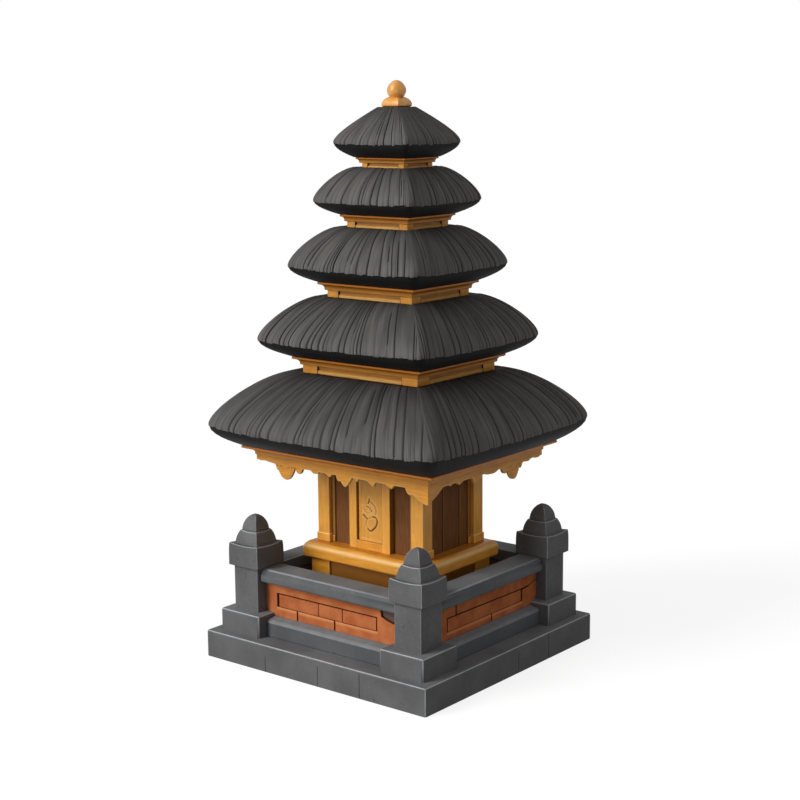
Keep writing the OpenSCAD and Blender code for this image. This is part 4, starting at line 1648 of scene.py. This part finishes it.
@dataclass
class Valance:
    """The carved boards under the lowest eaves, with pendants and corner leaves."""

    height: float = 0.06
    plain: float = 0.028
    plain_end: float = 0.006
    rim: float = 0.013
    flesh_rim: float = 0.008
    swell: float = 0.04
    seam: float = 0.034
    step: float = 0.009
    rows: int = 12
    neighbours: int = 7
    front: tuple[Leaf, ...] = (
        Leaf(-0.862, 0.15, 0.155, 0.199, Cut.PENDANT), Leaf(-0.99, 0.028, 0.06, 0.1, Cut.LOBE),
        Leaf(-0.645, 0.07, 0.062, 0.098, Cut.LOBE), Leaf(-0.385, 0.07, 0.07, 0.06, Cut.LOBE),
        Leaf(-0.143, 0.2, 0.06, 0.068), Leaf(0.088, 0.125, 0.12, 0.153, Cut.CORNER),
        Leaf(-0.01, 0.035, 0.06, 0.096, Cut.LOBE), Leaf(0.27, 0.04, 0.055, 0.072),
        Leaf(0.517, 0.2, 0.08, 0.088), Leaf(0.788, 0.2, 0.09, 0.078),
        Leaf(1.065, 0.07, 0.07, 0.106, Cut.LOBE), Leaf(1.3, 0.32, 0.4, 0.19, Cut.CORNER),
    )
    side: tuple[Leaf, ...] = (
        Leaf(-1.15, 0.1, 0.33, 0.178, Cut.CORNER), Leaf(-0.711, 0.045, 0.03, 0.055),
        Leaf(-0.545, 0.07, 0.22, 0.062), Leaf(-0.242, 0.09, 0.3, 0.108),
        Leaf(0.12, 0.2, 0.12, 0.054, Cut.LOBE), Leaf(0.575, 0.165, 0.115, 0.205, Cut.PENDANT),
        Leaf(0.38, 0.065, 0.08, 0.102, Cut.LOBE), Leaf(0.705, 0.03, 0.034, 0.092, Cut.LOBE),
        Leaf(0.85, 0.1, 0.06, 0.036, Cut.LOBE), Leaf(1.06, 0.09, 0.075, 0.026, Cut.LOBE),
    )

    def drop(self, along: float, half: float, leaves: tuple[Leaf, ...]) -> float:
        """Give how far the lower edge hangs under the plain board at a place along it.

        Args:
            along: The place.
            half: Half the board's length.
            leaves: The board's leaves.

        Returns:
            The drop.
        """
        end = clamped((abs(along) / half - 0.75) / 0.15)
        plain = self.plain + (self.plain_end - self.plain) * end
        return max(plain, *(leaf.at(along) for leaf in leaves))

    def fleshy(self, along: float, leaves: tuple[Leaf, ...]) -> float:
        """Tell how far a place lies inside a pendant's width, from 0 to 1.

        Args:
            along: The place.
            leaves: The board's leaves.

        Returns:
            The share.
        """
        spans = (
            min(along - leaf.place + leaf.left + 0.03, leaf.place + leaf.right + 0.07 - along) / 0.04
            for leaf in leaves if leaf.cut is Cut.PENDANT
        )
        return clamped(max(spans))

    def board(self, low: Vector, high: Vector, leaves: tuple[Leaf, ...]) -> Shape:
        """Carve one board on the front side, with rounded edges and swelling pendants.

        Args:
            low: The board's lowest corner.
            high: Its highest corner.
            leaves: The leaves of its lower edge.

        Returns:
            The board.
        """
        half, thick = high.x, high.y - low.y
        columns = round(2 * half / self.step)
        dice = random.Random(round(half * 1000))
        notch = [dice.uniform(0.2, 1.0) for _ in range(columns + 1)]
        places = [half * (2 * k / columns - 1) for k in range(columns + 1)]
        edge = [(x, self.drop(x, half, leaves)) for x in places]
        flesh = [self.fleshy(x, leaves) for x in places]
        shape = Shape()
        mesh = shape.mesh
        bmesh.ops.create_grid(mesh, x_segments=columns, y_segments=self.rows, size=1.0)
        front: dict[int, tuple[int, float, float]] = {}
        for vert in mesh.verts:
            column = round((vert.co.x + 1) / 2 * columns)
            row = round((vert.co.y + 1) / 2 * self.rows)
            x, lowest = edge[column]
            drop = lowest - (lowest + self.height) * (row / self.rows) ** 1.5
            near = edge[max(0, column - self.neighbours): column + self.neighbours + 1]
            away = min(lowest - drop, *(math.hypot(x - a, drop - b) for a, b in near))
            front[vert.index] = (column, drop, away)
            vert.co = Vector((x, low.y, high.z - self.height - drop))
        shape.thicken(Vector((0, thick, 0)))
        wear, hollow, tone = (shape.layer(mark) for mark in (Mark.WEAR_AND_HIGHLIGHT, Mark.PAINTED_SHADE, Mark.TONE))
        for face in mesh.faces:
            known = [front[vert.index] for vert in face.verts if vert.index in front]
            if len(known) < 4:
                continue
            column = min(item[0] for item in known)
            drop, away = (sum(item[k] for item in known) / len(known) for k in (1, 2))
            # Painted highlight along the lower rims, painted shade darker towards the top of the board, and
            # a painted shadow along the pendants' seam.
            face[wear] = 0.95 * hump(away, 0.01)
            face[tone] = -0.3 * clamped((0.03 - drop) / 0.09)
            face[hollow] = 0.8 * hump(drop - self.seam, 0.006) * flesh[column] * notch[column]
            face.smooth = True
        mesh.verts.ensure_lookup_table()
        for index, (column, drop, away) in front.items():
            fleshy = flesh[column] if drop > 0.03 else 0.0
            radius = self.rim + self.swell * fleshy
            deep = min(self.rim + self.flesh_rim * fleshy, thick * 0.6)
            inner = 1 - min(away, radius) / radius
            mesh.verts[index].co.y += deep * (1 - math.sqrt(1 - inner * inner))
            mesh.verts[index].co.y += 0.005 * fleshy * hump(drop - self.seam, 0.007)
        return shape

    def build(self, palette: Palette) -> None:
        """Build the four boards and dress them.

        Args:
            palette: The shrine's coats.
        """
        low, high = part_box("valance_right")
        turned = Vector((-high.y, -high.x, low.z)), Vector((high.y, -low.x, high.z))
        kinds = (*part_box("valance_front"), self.front), (*turned, self.side)
        for number, side in enumerate(SIDES):
            board = self.board(*kinds[number % 2])
            node = f"valance_{side}"
            assemble(f"valance_carving_{side}", node, [board.turn(number)], palette.gilt_level, 55)


@dataclass
class EaveBoard:
    """A moulded board under one roof: a cove with a bright lip above it."""

    tier: int
    valance_lip: float = 0.013
    neck_lip: float = 0.032
    cove_steps: int = 7
    cove_reach: float = 0.8
    cove_foot: float = 0.22
    cove_rise: float = 0.46
    lip: float = 0.75

    def build(self, palette: Palette) -> None:
        """Build the board and dress it.

        Args:
            palette: The shrine's coats.
        """
        node = f"eave_board_{self.tier}"
        low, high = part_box(node)
        if self.tier == 1:
            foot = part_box("valance_back")[1].xy + Vector((self.valance_lip, self.valance_lip))
        else:
            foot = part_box(f"neck_{self.tier - 1}")[1].xy + Vector((self.neck_lip, self.neck_lip))
        spread, tall = high.xy - foot, high.z - low.z

        def ring(out: float, up: float, back: float = 0.0) -> Ring:
            """Give an oblong by its shares of the spread and of the height, drawn in by a distance."""
            return (foot.x + spread.x * out - back, foot.y + spread.y * out - back, low.z + tall * up)

        turns = [math.pi / 2 * k / self.cove_steps for k in range(self.cove_steps + 1)]
        cove = [
            ring(self.cove_reach * (1 - math.cos(turn)), self.cove_foot + self.cove_rise * math.sin(turn))
            for turn in turns
        ]
        rings = [
            ring(0.0, 0.0, 0.008), ring(0.0, 0.05, 0.002), ring(0.0, 0.12), *cove,
            ring(0.96, 0.74), ring(1.0, 0.8), ring(1.0, 0.95), ring(1.0, 1.0, 0.006),
        ]
        board = Shape.tiers(rings).smooth()
        tone, accent = board.layer(Mark.TONE), board.layer(Mark.ACCENT)
        for face in board.mesh.faces:
            share = (face.calc_center_median().z - low.z) / tall
            # Painted shade, darker up the cove towards the lip.
            if share < self.lip:
                face[tone] = -0.12 - 0.38 * max(0.0, share - 0.1) / 0.65
            elif abs(face.normal.z) < 0.95:
                face[accent] = 1.0
        assemble(f"eave_moulding_{self.tier}", node, [board], palette.ochre, 32)


# ---- Thatch ----


def curved(knots: tuple[Ring, ...], share: float) -> Ring:
    """Give the point at a share of the smooth curve that knots draw.

    Args:
        knots: The knots, from the curve's start to its end.
        share: How far along it the point lies, from 0 to 1.

    Returns:
        The point.
    """
    while len(knots) > 1:
        pairs = zip(knots, knots[1:])
        knots = tuple(tuple(a + (b - a) * share for a, b in zip(first, last)) for first, last in pairs)
    return knots[0]


@dataclass(frozen=True)
class Lock:
    """One lock of thatch: its edges as shares of the side, and how it hangs, is toned, sinks and parts."""

    start: float
    end: float
    hang: float
    tone: float
    sink: float
    groove: float
    opens: float
    closes: float


@dataclass
class ThatchRoof:
    """A convex thatched roof: four sides of combed locks over a smooth cut edge."""

    tier: int
    lock_width: float
    rows: int
    tone: float
    edge_share: float = 0.28
    belly: float = 0.48
    shelf: float = 0.13
    crest: float = 0.03
    shoulder: Point = (0.43, 0.09)
    peak: Point = (0.24, 0.18)
    fall: float = 0.26
    play: float = 0.008
    corner: float = 0.11
    bow: float = 0.012
    lift: float = 0.02
    lap: float = 0.03
    collar: float = 0.035
    step: float = 0.009
    fan: float = 0.16
    sway: float = 0.022
    drift: float = 0.007
    hip: float = 0.16
    band_rows: int = 7
    samples: int = 48
    cuts: tuple[float, ...] = (0.0, 0.08, 0.2, 0.4, 0.6, 0.8, 0.92)

    def __post_init__(self) -> None:
        """Take the roof's sizes from the frame, and draw its profile from the seat down to the board."""
        low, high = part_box(f"roof_{self.tier}")
        topmost = self.tier == TIERS[-1]
        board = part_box(f"eave_board_{self.tier}")[1]
        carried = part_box("finial" if topmost else f"neck_{self.tier}")
        self.foot = low.z
        self.height = carried[0].z - low.z
        self.wide = wide = (high.x, high.y)
        collar = self.collar + (0.0 if topmost else self.play)
        seat = (carried[1].x + collar, carried[1].y + collar)
        shelf, crest = (0.0, 0.0) if topmost else (self.shelf, self.crest)
        out, down = self.peak if topmost else self.shoulder
        top = tuple(a + (b - a) * shelf for a, b in zip(seat, wide))
        handle = tuple(a + (b - a) * out for a, b in zip(top, wide))
        widest = self.foot + self.height * self.edge_share
        highest = self.foot + self.height * (1.0 + crest)
        rise = highest - widest
        coat = (
            (*top, highest), (*handle, highest - rise * down), (*wide, widest + rise * self.fall),
            (*wide, widest),
        )
        edge = (
            (*wide, widest), (*wide, widest - (widest - self.foot) * self.belly),
            (board.x + self.lap, board.y + self.lap, self.foot),
        )
        shares = [k / self.samples for k in range(self.samples + 1)]
        upper = [] if topmost else [(*seat, self.foot + self.height)]
        upper += [curved(coat, share) for share in shares]
        self.profile = upper + [curved(edge, share) for share in shares[1:]]
        self.lengths = [0.0]
        for first, last in zip(self.profile, self.profile[1:]):
            self.lengths.append(self.lengths[-1] + math.hypot(last[0] - first[0], last[2] - first[2]))
        self.upper_length = self.lengths[len(upper) - 1]
        self.full_length = self.lengths[-1]

    def along(self, distance: float) -> tuple[Ring, Point]:
        """Find the profile at a distance from the seat.

        Args:
            distance: The distance down the profile.

        Returns:
            The half width, half depth and level there, and the outward normal's two parts.
        """
        distance = max(0.0, min(self.full_length, distance))
        index = bisect_left(self.lengths, distance, 1, len(self.lengths) - 1)
        first, last = self.profile[index - 1], self.profile[index]
        gap = self.lengths[index] - self.lengths[index - 1]
        place = curved((first, last), (distance - self.lengths[index - 1]) / gap)
        return place, ((first[2] - last[2]) / gap, (last[0] - first[0]) / gap)

    def spot(self, side: int, distance: float, share: float, out: float) -> Vector:
        """Place a point on one side.

        Args:
            side: Which side, from the front round to the left.
            distance: How far down the profile it lies.
            share: How far across the side, from -1 at its left hip to 1.
            out: How far it stands out from the coat's surface.

        Returns:
            The point.
        """
        (half, deep, level), (normal_out, normal_up) = self.along(distance)
        radius, bow = half * self.corner, half * self.bow
        flat = half - bow - radius
        run = abs(share) * (flat + radius * math.pi / 4)
        sign = 1.0 if share >= 0 else -1.0
        u = min(1.0, run / flat)
        if run < flat:
            plan, facing = Vector((sign * run, -half + bow * u * u)), Vector((0.0, -1.0))
        else:
            angle = (run - flat) / radius
            facing = Vector((sign * math.sin(angle), -math.cos(angle)))
            plan = Vector((sign * flat, -flat)) + facing * radius
        rise, edge = (level - self.foot) / self.height, self.edge_share
        lift = self.wide[0] * self.lift * max(0.0, min(rise / edge, (1 - rise) / (1 - edge))) * u ** 4
        turned = Matrix.Rotation(math.radians(90 * side), 2) @ (plan + facing * normal_out * out)
        return Vector((turned.x, turned.y * deep / half, level + lift + normal_up * out))

    def locks(self, dice: random.Random) -> list[Lock]:
        """Share a side out into locks, narrower near its hips.

        Args:
            dice: The side's own dice.

        Returns:
            The locks, from the left hip to the right.
        """
        edges = [-1.0]
        width = self.lock_width / self.wide[0]
        while edges[-1] < 1.0:
            inner = clamped((1 - abs(edges[-1] + width / 2)) / self.hip)
            edges.append(edges[-1] + width * dice.uniform(0.4, 1.6) * (0.5 + 0.5 * inner))
        scale = 2.0 / (edges[-1] + 1.0)
        edges = [-1.0 + (edge + 1.0) * scale for edge in edges]
        made: list[Lock] = []
        for start, end in zip(edges, edges[1:]):
            strong = dice.random() < 0.5
            opens = dice.choice((0.0, 0.0, 0.0, dice.uniform(0.1, 0.5)))
            made.append(Lock(
                start, end, dice.uniform(-0.009, 0.007), dice.uniform(-0.08, 0.08) + self.tone,
                dice.uniform(0.0, 0.004), dice.uniform(*((0.011, 0.017) if strong else (0.001, 0.006))),
                opens, dice.choice((1.2, 1.2, 1.2, dice.uniform(0.6, 1.0))),
            ))
        return made

    def combed(self, share: float, progress: float, seed: Vector) -> float:
        """Sway a strand sideways, and fan it out from the seat.

        Args:
            share: How far across the side it lies.
            progress: How far down the coat, from 0 to 1.
            seed: Sets how the side's strands sway.

        Returns:
            The swayed share.
        """
        sway = noise.noise(Vector((share * 3.2, progress * 1.6, 0.0)) + seed)
        drift = noise.noise(Vector((share * 11.0, progress * 3.4, 5.0)) + seed)
        share += (self.sway * sway + self.drift * drift) * (1 - share ** 4) * min(1.0, 4 * progress)
        share *= 1 + self.fan * (1 - progress) ** 1.5 * abs(share) ** 3
        return max(-1.0, min(1.0, share))

    def side(self, number: int) -> Shape:
        """Comb one side's thatch, by its number, as an open sheet.

        Args:
            number: The side's number.

        Returns:
            The sheet.
        """
        dice = random.Random(100 * self.tier + number)
        locks = self.locks(dice)
        strands = [(lock, cut) for lock in range(len(locks)) for cut in self.cuts] + [(len(locks) - 1, 1.0)]
        ends = [dice.uniform(-0.005, 0.005) for _ in strands]
        levels = self.rows + 1 + self.band_rows
        shape = Shape()
        mesh = shape.mesh
        toned, hollow, band, tip = (mesh.verts.layers.float.new(mark.value) for mark in Fibre)
        chart = mesh.loops.layers.uv.new("combed")
        bmesh.ops.create_grid(mesh, x_segments=len(strands) - 1, y_segments=levels, size=1.0)
        charted: dict[int, Point] = {}
        seed = Vector((7.3 * self.tier, 3.1 * number, 0.0))
        for vert in mesh.verts:
            column = round((vert.co.x + 1) / 2 * (len(strands) - 1))
            level = round((1 - vert.co.y) / 2 * levels)
            index, cut = strands[column]
            lock = locks[index]
            base = share = lock.start + (lock.end - lock.start) * cut
            from_hip = 1 - abs(share)
            lowest = self.upper_length + 0.01 + (lock.hang + ends[column]) * min(1.0, from_hip / 0.01)
            on_coat = level <= self.rows
            below = max(0.0, (level - self.rows - 1) / self.band_rows)
            distance = lowest + (self.full_length - lowest) * below
            if on_coat:
                distance = lowest * (level / self.rows) ** 0.85
            progress = min(1.0, distance / self.upper_length)
            if on_coat:
                share = self.combed(share, progress, seed)
            inside = min(1.0, (1 - abs(share)) / 0.02)
            nearer = locks[min(index + 1, len(locks) - 1)] if cut > 0.5 else lock
            closeness = hump(min(cut, 1 - cut), 0.1)
            window = 1.0 if nearer.opens < progress < nearer.closes else 0.25
            depth = nearer.groove * closeness * window * inside * (0.5 + 0.5 * progress)
            out = -self.step * (1 - 0.75 * below)
            if on_coat:
                out = -depth - lock.sink * inside - (0.003 if level == self.rows else 0.0)
            vert.co = self.spot(number, distance, share, out)
            # Painted shade, darker towards the neck.
            neck_shade = -0.5 * max(0.0, 1 - progress / 0.62) ** 1.1
            vert[toned] = lock.tone * (1 - closeness) * inside + neck_shade
            vert[tip] = 0.62 * max(0.0, (progress - 0.6) / 0.4) ** 1.6 * (1 - closeness)
            # Painted shade in the grooves, by their depth.
            vert[hollow] = min(0.85, depth / 0.014) if on_coat else 0.0
            vert[band] = 0.0 if on_coat else 1.0
            charted[vert.index] = (base * self.wide[0] + 10.0 * number, distance)
        for face in mesh.faces:
            for loop in face.loops:
                loop[chart].uv = charted[loop.vert.index]
        return shape.smooth()

    def build(self, palette: Palette) -> None:
        """Build the roof, close it and dress it.

        Args:
            palette: The shrine's coats.
        """
        roof = Shape(joined([self.side(number) for number in range(4)]))
        bmesh.ops.remove_doubles(roof.mesh, verts=roof.mesh.verts, dist=1e-5)
        assemble(f"thatch_{self.tier}", f"roof_{self.tier}", [roof.close()], palette.thatch, 60)


# ---- Necks and finial ----


@dataclass
class Neck:
    """The moulded rails of one neck."""

    tier: int
    recess: float = 0.016
    rail_foot_highlight: float = 0.35
    recess_shade: float = 0.5

    def build(self, palette: Palette) -> None:
        """Build the rails and dress them.

        Args:
            palette: The shrine's coats.
        """
        node = f"neck_{self.tier}"
        low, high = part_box(node)
        tall = high.z - low.z
        steps = (
            (0.006, 0.0), (0.0, 0.07), (0.0, 0.36), (0.004, 0.42), (self.recess, 0.54), (self.recess, 1.0),
        )
        rails = Shape.tiers([(high.x - back, high.y - back, low.z + tall * up) for back, up in steps])
        # Painted highlight on the lower moulding, painted shade in the upper recess.
        for face in rails.mesh.faces:
            share = (face.calc_center_median().z - low.z) / tall
            if share < 0.45:
                face[rails.layer(Mark.WEAR_AND_HIGHLIGHT)] = self.rail_foot_highlight
            elif share > 0.5 and abs(face.normal.z) < 0.5:
                face[rails.layer(Mark.PAINTED_SHADE)] = self.recess_shade
        assemble(f"neck_rails_{self.tier}", node, [rails], palette.gilt_level)


@dataclass
class NeckBlocks:
    """The corner blocks of all the necks, with dark boxes as painted shade in the slit where a block meets
    its rails.
    """

    share: float = 0.13
    play: float = 0.008
    slit: float = 0.009
    slit_back: float = 0.006

    def build(self, palette: Palette) -> None:
        """Build the blocks and dress them.

        Args:
            palette: The shrine's coats.
        """
        shapes: list[Shape] = []
        for tier in TIERS[:-1]:
            low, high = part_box(f"neck_{tier}")
            wide, deep = high.x + self.play, high.y + self.play
            width = 2 * wide * self.share
            slit = self.slit if tier < 3 else self.slit * 0.75
            across, along = (wide, wide - width), (deep, deep - width)
            beside = (wide - width, wide - width - slit), (deep - self.slit_back, deep - width)
            behind = (wide - self.slit_back, wide - width), (deep - width, deep - width - slit)
            for signs in CORNERS:
                cells = []
                for pairs in ((across, along), beside, behind):
                    (x0, x1), (y0, y1) = (sorted((s * a, s * b)) for s, (a, b) in zip(signs, pairs))
                    cells.append((Vector((x0, y0, low.z)), Vector((x1, y1, high.z))))
                shapes.append(Shape.block(*cells[0], 0.006, 0.006).mark(Mark.TONE, 0.1))
                # Painted shade: dark boxes fill the slits beside and behind each block.
                shapes += [Shape.box(*cell).mark(Mark.PAINTED_SHADE, 1.0) for cell in cells[1:]]
        assemble("neck_corner_blocks", "neck_blocks", shapes, palette.gilt_level)


@dataclass
class Finial:
    """The gilded finial: a domed square foot and an egg-shaped ball."""

    foot_height: float = 0.116
    foot_bell: tuple[Point, ...] = (
        (0.93, 0.0), (0.99, 0.1), (1.0, 0.24), (0.985, 0.42), (0.92, 0.6), (0.82, 0.75), (0.7, 0.88),
        (0.54, 1.0),
    )
    corner: float = 0.022
    ball: float = 0.115
    narrow: float = 0.17

    def build(self, palette: Palette) -> None:
        """Build the finial and dress it.

        Args:
            palette: The shrine's coats.
        """
        low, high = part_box("finial")
        rings = [
            (high.x * width, high.x * width, low.z + self.foot_height * rise)
            for width, rise in self.foot_bell
        ]
        foot = Shape.tiers(rings).smooth().soften(self.corner, 5, is_hip, 0.2)
        centre = Vector((0, 0, high.z - self.ball))

        def egg(point: Vector) -> Vector:
            """Narrow the ball a little towards its top, and lift it onto its foot."""
            share = 1 - self.narrow * max(0.0, point.z / self.ball) ** 1.3
            return Vector((point.x * share, point.y * share, point.z)) + centre

        ball = Shape()
        bmesh.ops.create_uvsphere(ball.mesh, u_segments=40, v_segments=24, radius=self.ball)
        assemble("finial_gilt", "finial", [foot, ball.move(egg).smooth()], palette.brass)


# ---- Studio ----


def towards(azimuth: float, elevation: float) -> Vector:
    """Give the direction at an azimuth from the front towards +X and at an elevation, in degrees."""
    turn, rise = math.radians(azimuth), math.radians(elevation)
    return Vector((math.sin(turn) * math.cos(rise), -math.cos(turn) * math.cos(rise), math.sin(rise)))


@dataclass(frozen=True)
class Lamp:
    """One soft, far lamp: its strength, where pi lights a white face fully, its direction and its width."""

    name: str
    strength: float
    azimuth: float
    elevation: float
    spread: float

    def hang(self) -> None:
        """Hang the lamp."""
        data = bpy.data.lights.new(self.name, "SUN")
        data.energy = self.strength * math.pi
        data.angle = math.radians(self.spread)
        lamp = stand(self.name, data)
        lamp.rotation_euler = towards(self.azimuth, self.elevation).to_track_quat("Z", "Y").to_euler()


@dataclass
class Studio:
    """A pale floor, a soft even light and the camera."""

    azimuth: float = 38.81
    elevation: float = 10.67
    distance: float = 20.28
    aim: Vector = field(default_factory=lambda: Vector((0.0, 0.0, 3.15)))
    roll: float = -0.5
    shift: Point = (0.0009, 0.0007)
    lens: float = 74.61
    reach: float = 200.0
    ambient: float = 0.345
    floor_radius: float = 60.0
    floor_grey: Colour = (0.3, 0.3, 0.3, 1.0)
    floor_glow: float = 0.82
    lamps: tuple[Lamp, ...] = (
        Lamp("key", 0.49, -26.0, 37.0, 24.0), Lamp("low_key", 0.34, -24.0, 9.0, 22.0),
    )

    def camera(self) -> None:
        """Stand the camera in front of the shrine, to its right."""
        back = towards(self.azimuth, self.elevation)
        data = bpy.data.cameras.new("view")
        data.lens, data.sensor_width, data.clip_end = self.lens, 36.0, self.reach
        data.shift_x, data.shift_y = self.shift
        camera = stand("view", data)
        camera.location = self.aim + back * self.distance
        roll = Quaternion((0, 0, 1), math.radians(self.roll))
        camera.rotation_euler = (back.to_track_quat("Z", "Y") @ roll).to_euler()
        bpy.context.scene.camera = camera

    def world(self) -> None:
        """Light the shrine evenly from all round, before a white background."""
        tree = Tree(bpy.data.worlds.new("studio"))
        bpy.context.scene.world = tree.owner
        inputs = {"Value": tree.seen_directly(), "To Min": self.ambient, "To Max": 1.0}
        background = tree.nodes["Background"]
        tree.feed(background.inputs["Color"], (1.0, 1.0, 1.0, 1.0))
        tree.feed(background.inputs["Strength"], tree.add("ShaderNodeMapRange", inputs).outputs["Result"])

    def floor(self) -> None:
        """Lay a wide pale floor that keeps a soft shadow."""
        tree = Tree(bpy.data.materials.new("pale_floor"))
        tree.nodes.remove(tree.nodes["Principled BSDF"])
        glowing = tree.combine(tree.seen_directly(), self.floor_glow)
        matt = tree.add("ShaderNodeBsdfDiffuse", {"Color": self.floor_grey}).outputs[0]
        glow = tree.add("ShaderNodeEmission", {"Strength": glowing}).outputs[0]
        both = tree.add("ShaderNodeAddShader", {0: matt, 1: glow}).outputs[0]
        tree.feed(tree.nodes["Material Output"].inputs["Surface"], both)
        mesh, data = bmesh.new(), bpy.data.meshes.new("floor")
        bmesh.ops.create_circle(mesh, cap_ends=True, segments=64, radius=self.floor_radius)
        mesh.to_mesh(data)
        mesh.free()
        data.materials.append(tree.owner)
        stand("floor", data)

    def build(self) -> None:
        """Set up the camera, the lamps, the world and the floor."""
        self.camera()
        for lamp in self.lamps:
            lamp.hang()
        self.world()
        self.floor()
        bpy.context.scene.view_settings.view_transform = "Standard"


def dress(palette: Palette) -> None:
    """Build every sub-assembly of the shrine, from the plinth up.

    Args:
        palette: The shrine's coats.
    """
    posts = [CornerPost(name) for name in ("front_left", "front_right", "back_right", "back_left")]
    roofs = [
        ThatchRoof(1, 0.1, 26, -0.22), ThatchRoof(2, 0.088, 22, -0.12), ThatchRoof(3, 0.078, 20, -0.05),
        ThatchRoof(4, 0.068, 18, 0.0), ThatchRoof(5, 0.06, 18, 0.0),
    ]
    boards = [EaveBoard(tier) for tier in TIERS]
    necks = [Neck(tier) for tier in TIERS[:-1]]
    for assembly in (
        Plinth(), Parapet(), *posts, ShrineBase(), Chamber(), Door(), Valance(), *boards, *roofs, *necks,
        NeckBlocks(), Finial(),
    ):
        assembly.build(palette)


def main() -> None:
    """Load the frame, set up the studio and dress the shrine, logging each piece's triangles."""
    logging.basicConfig(level=logging.INFO, format="%(name)s: %(message)s")
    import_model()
    Studio().build()
    dress(Palette())


if __name__ == "__main__":
    main()
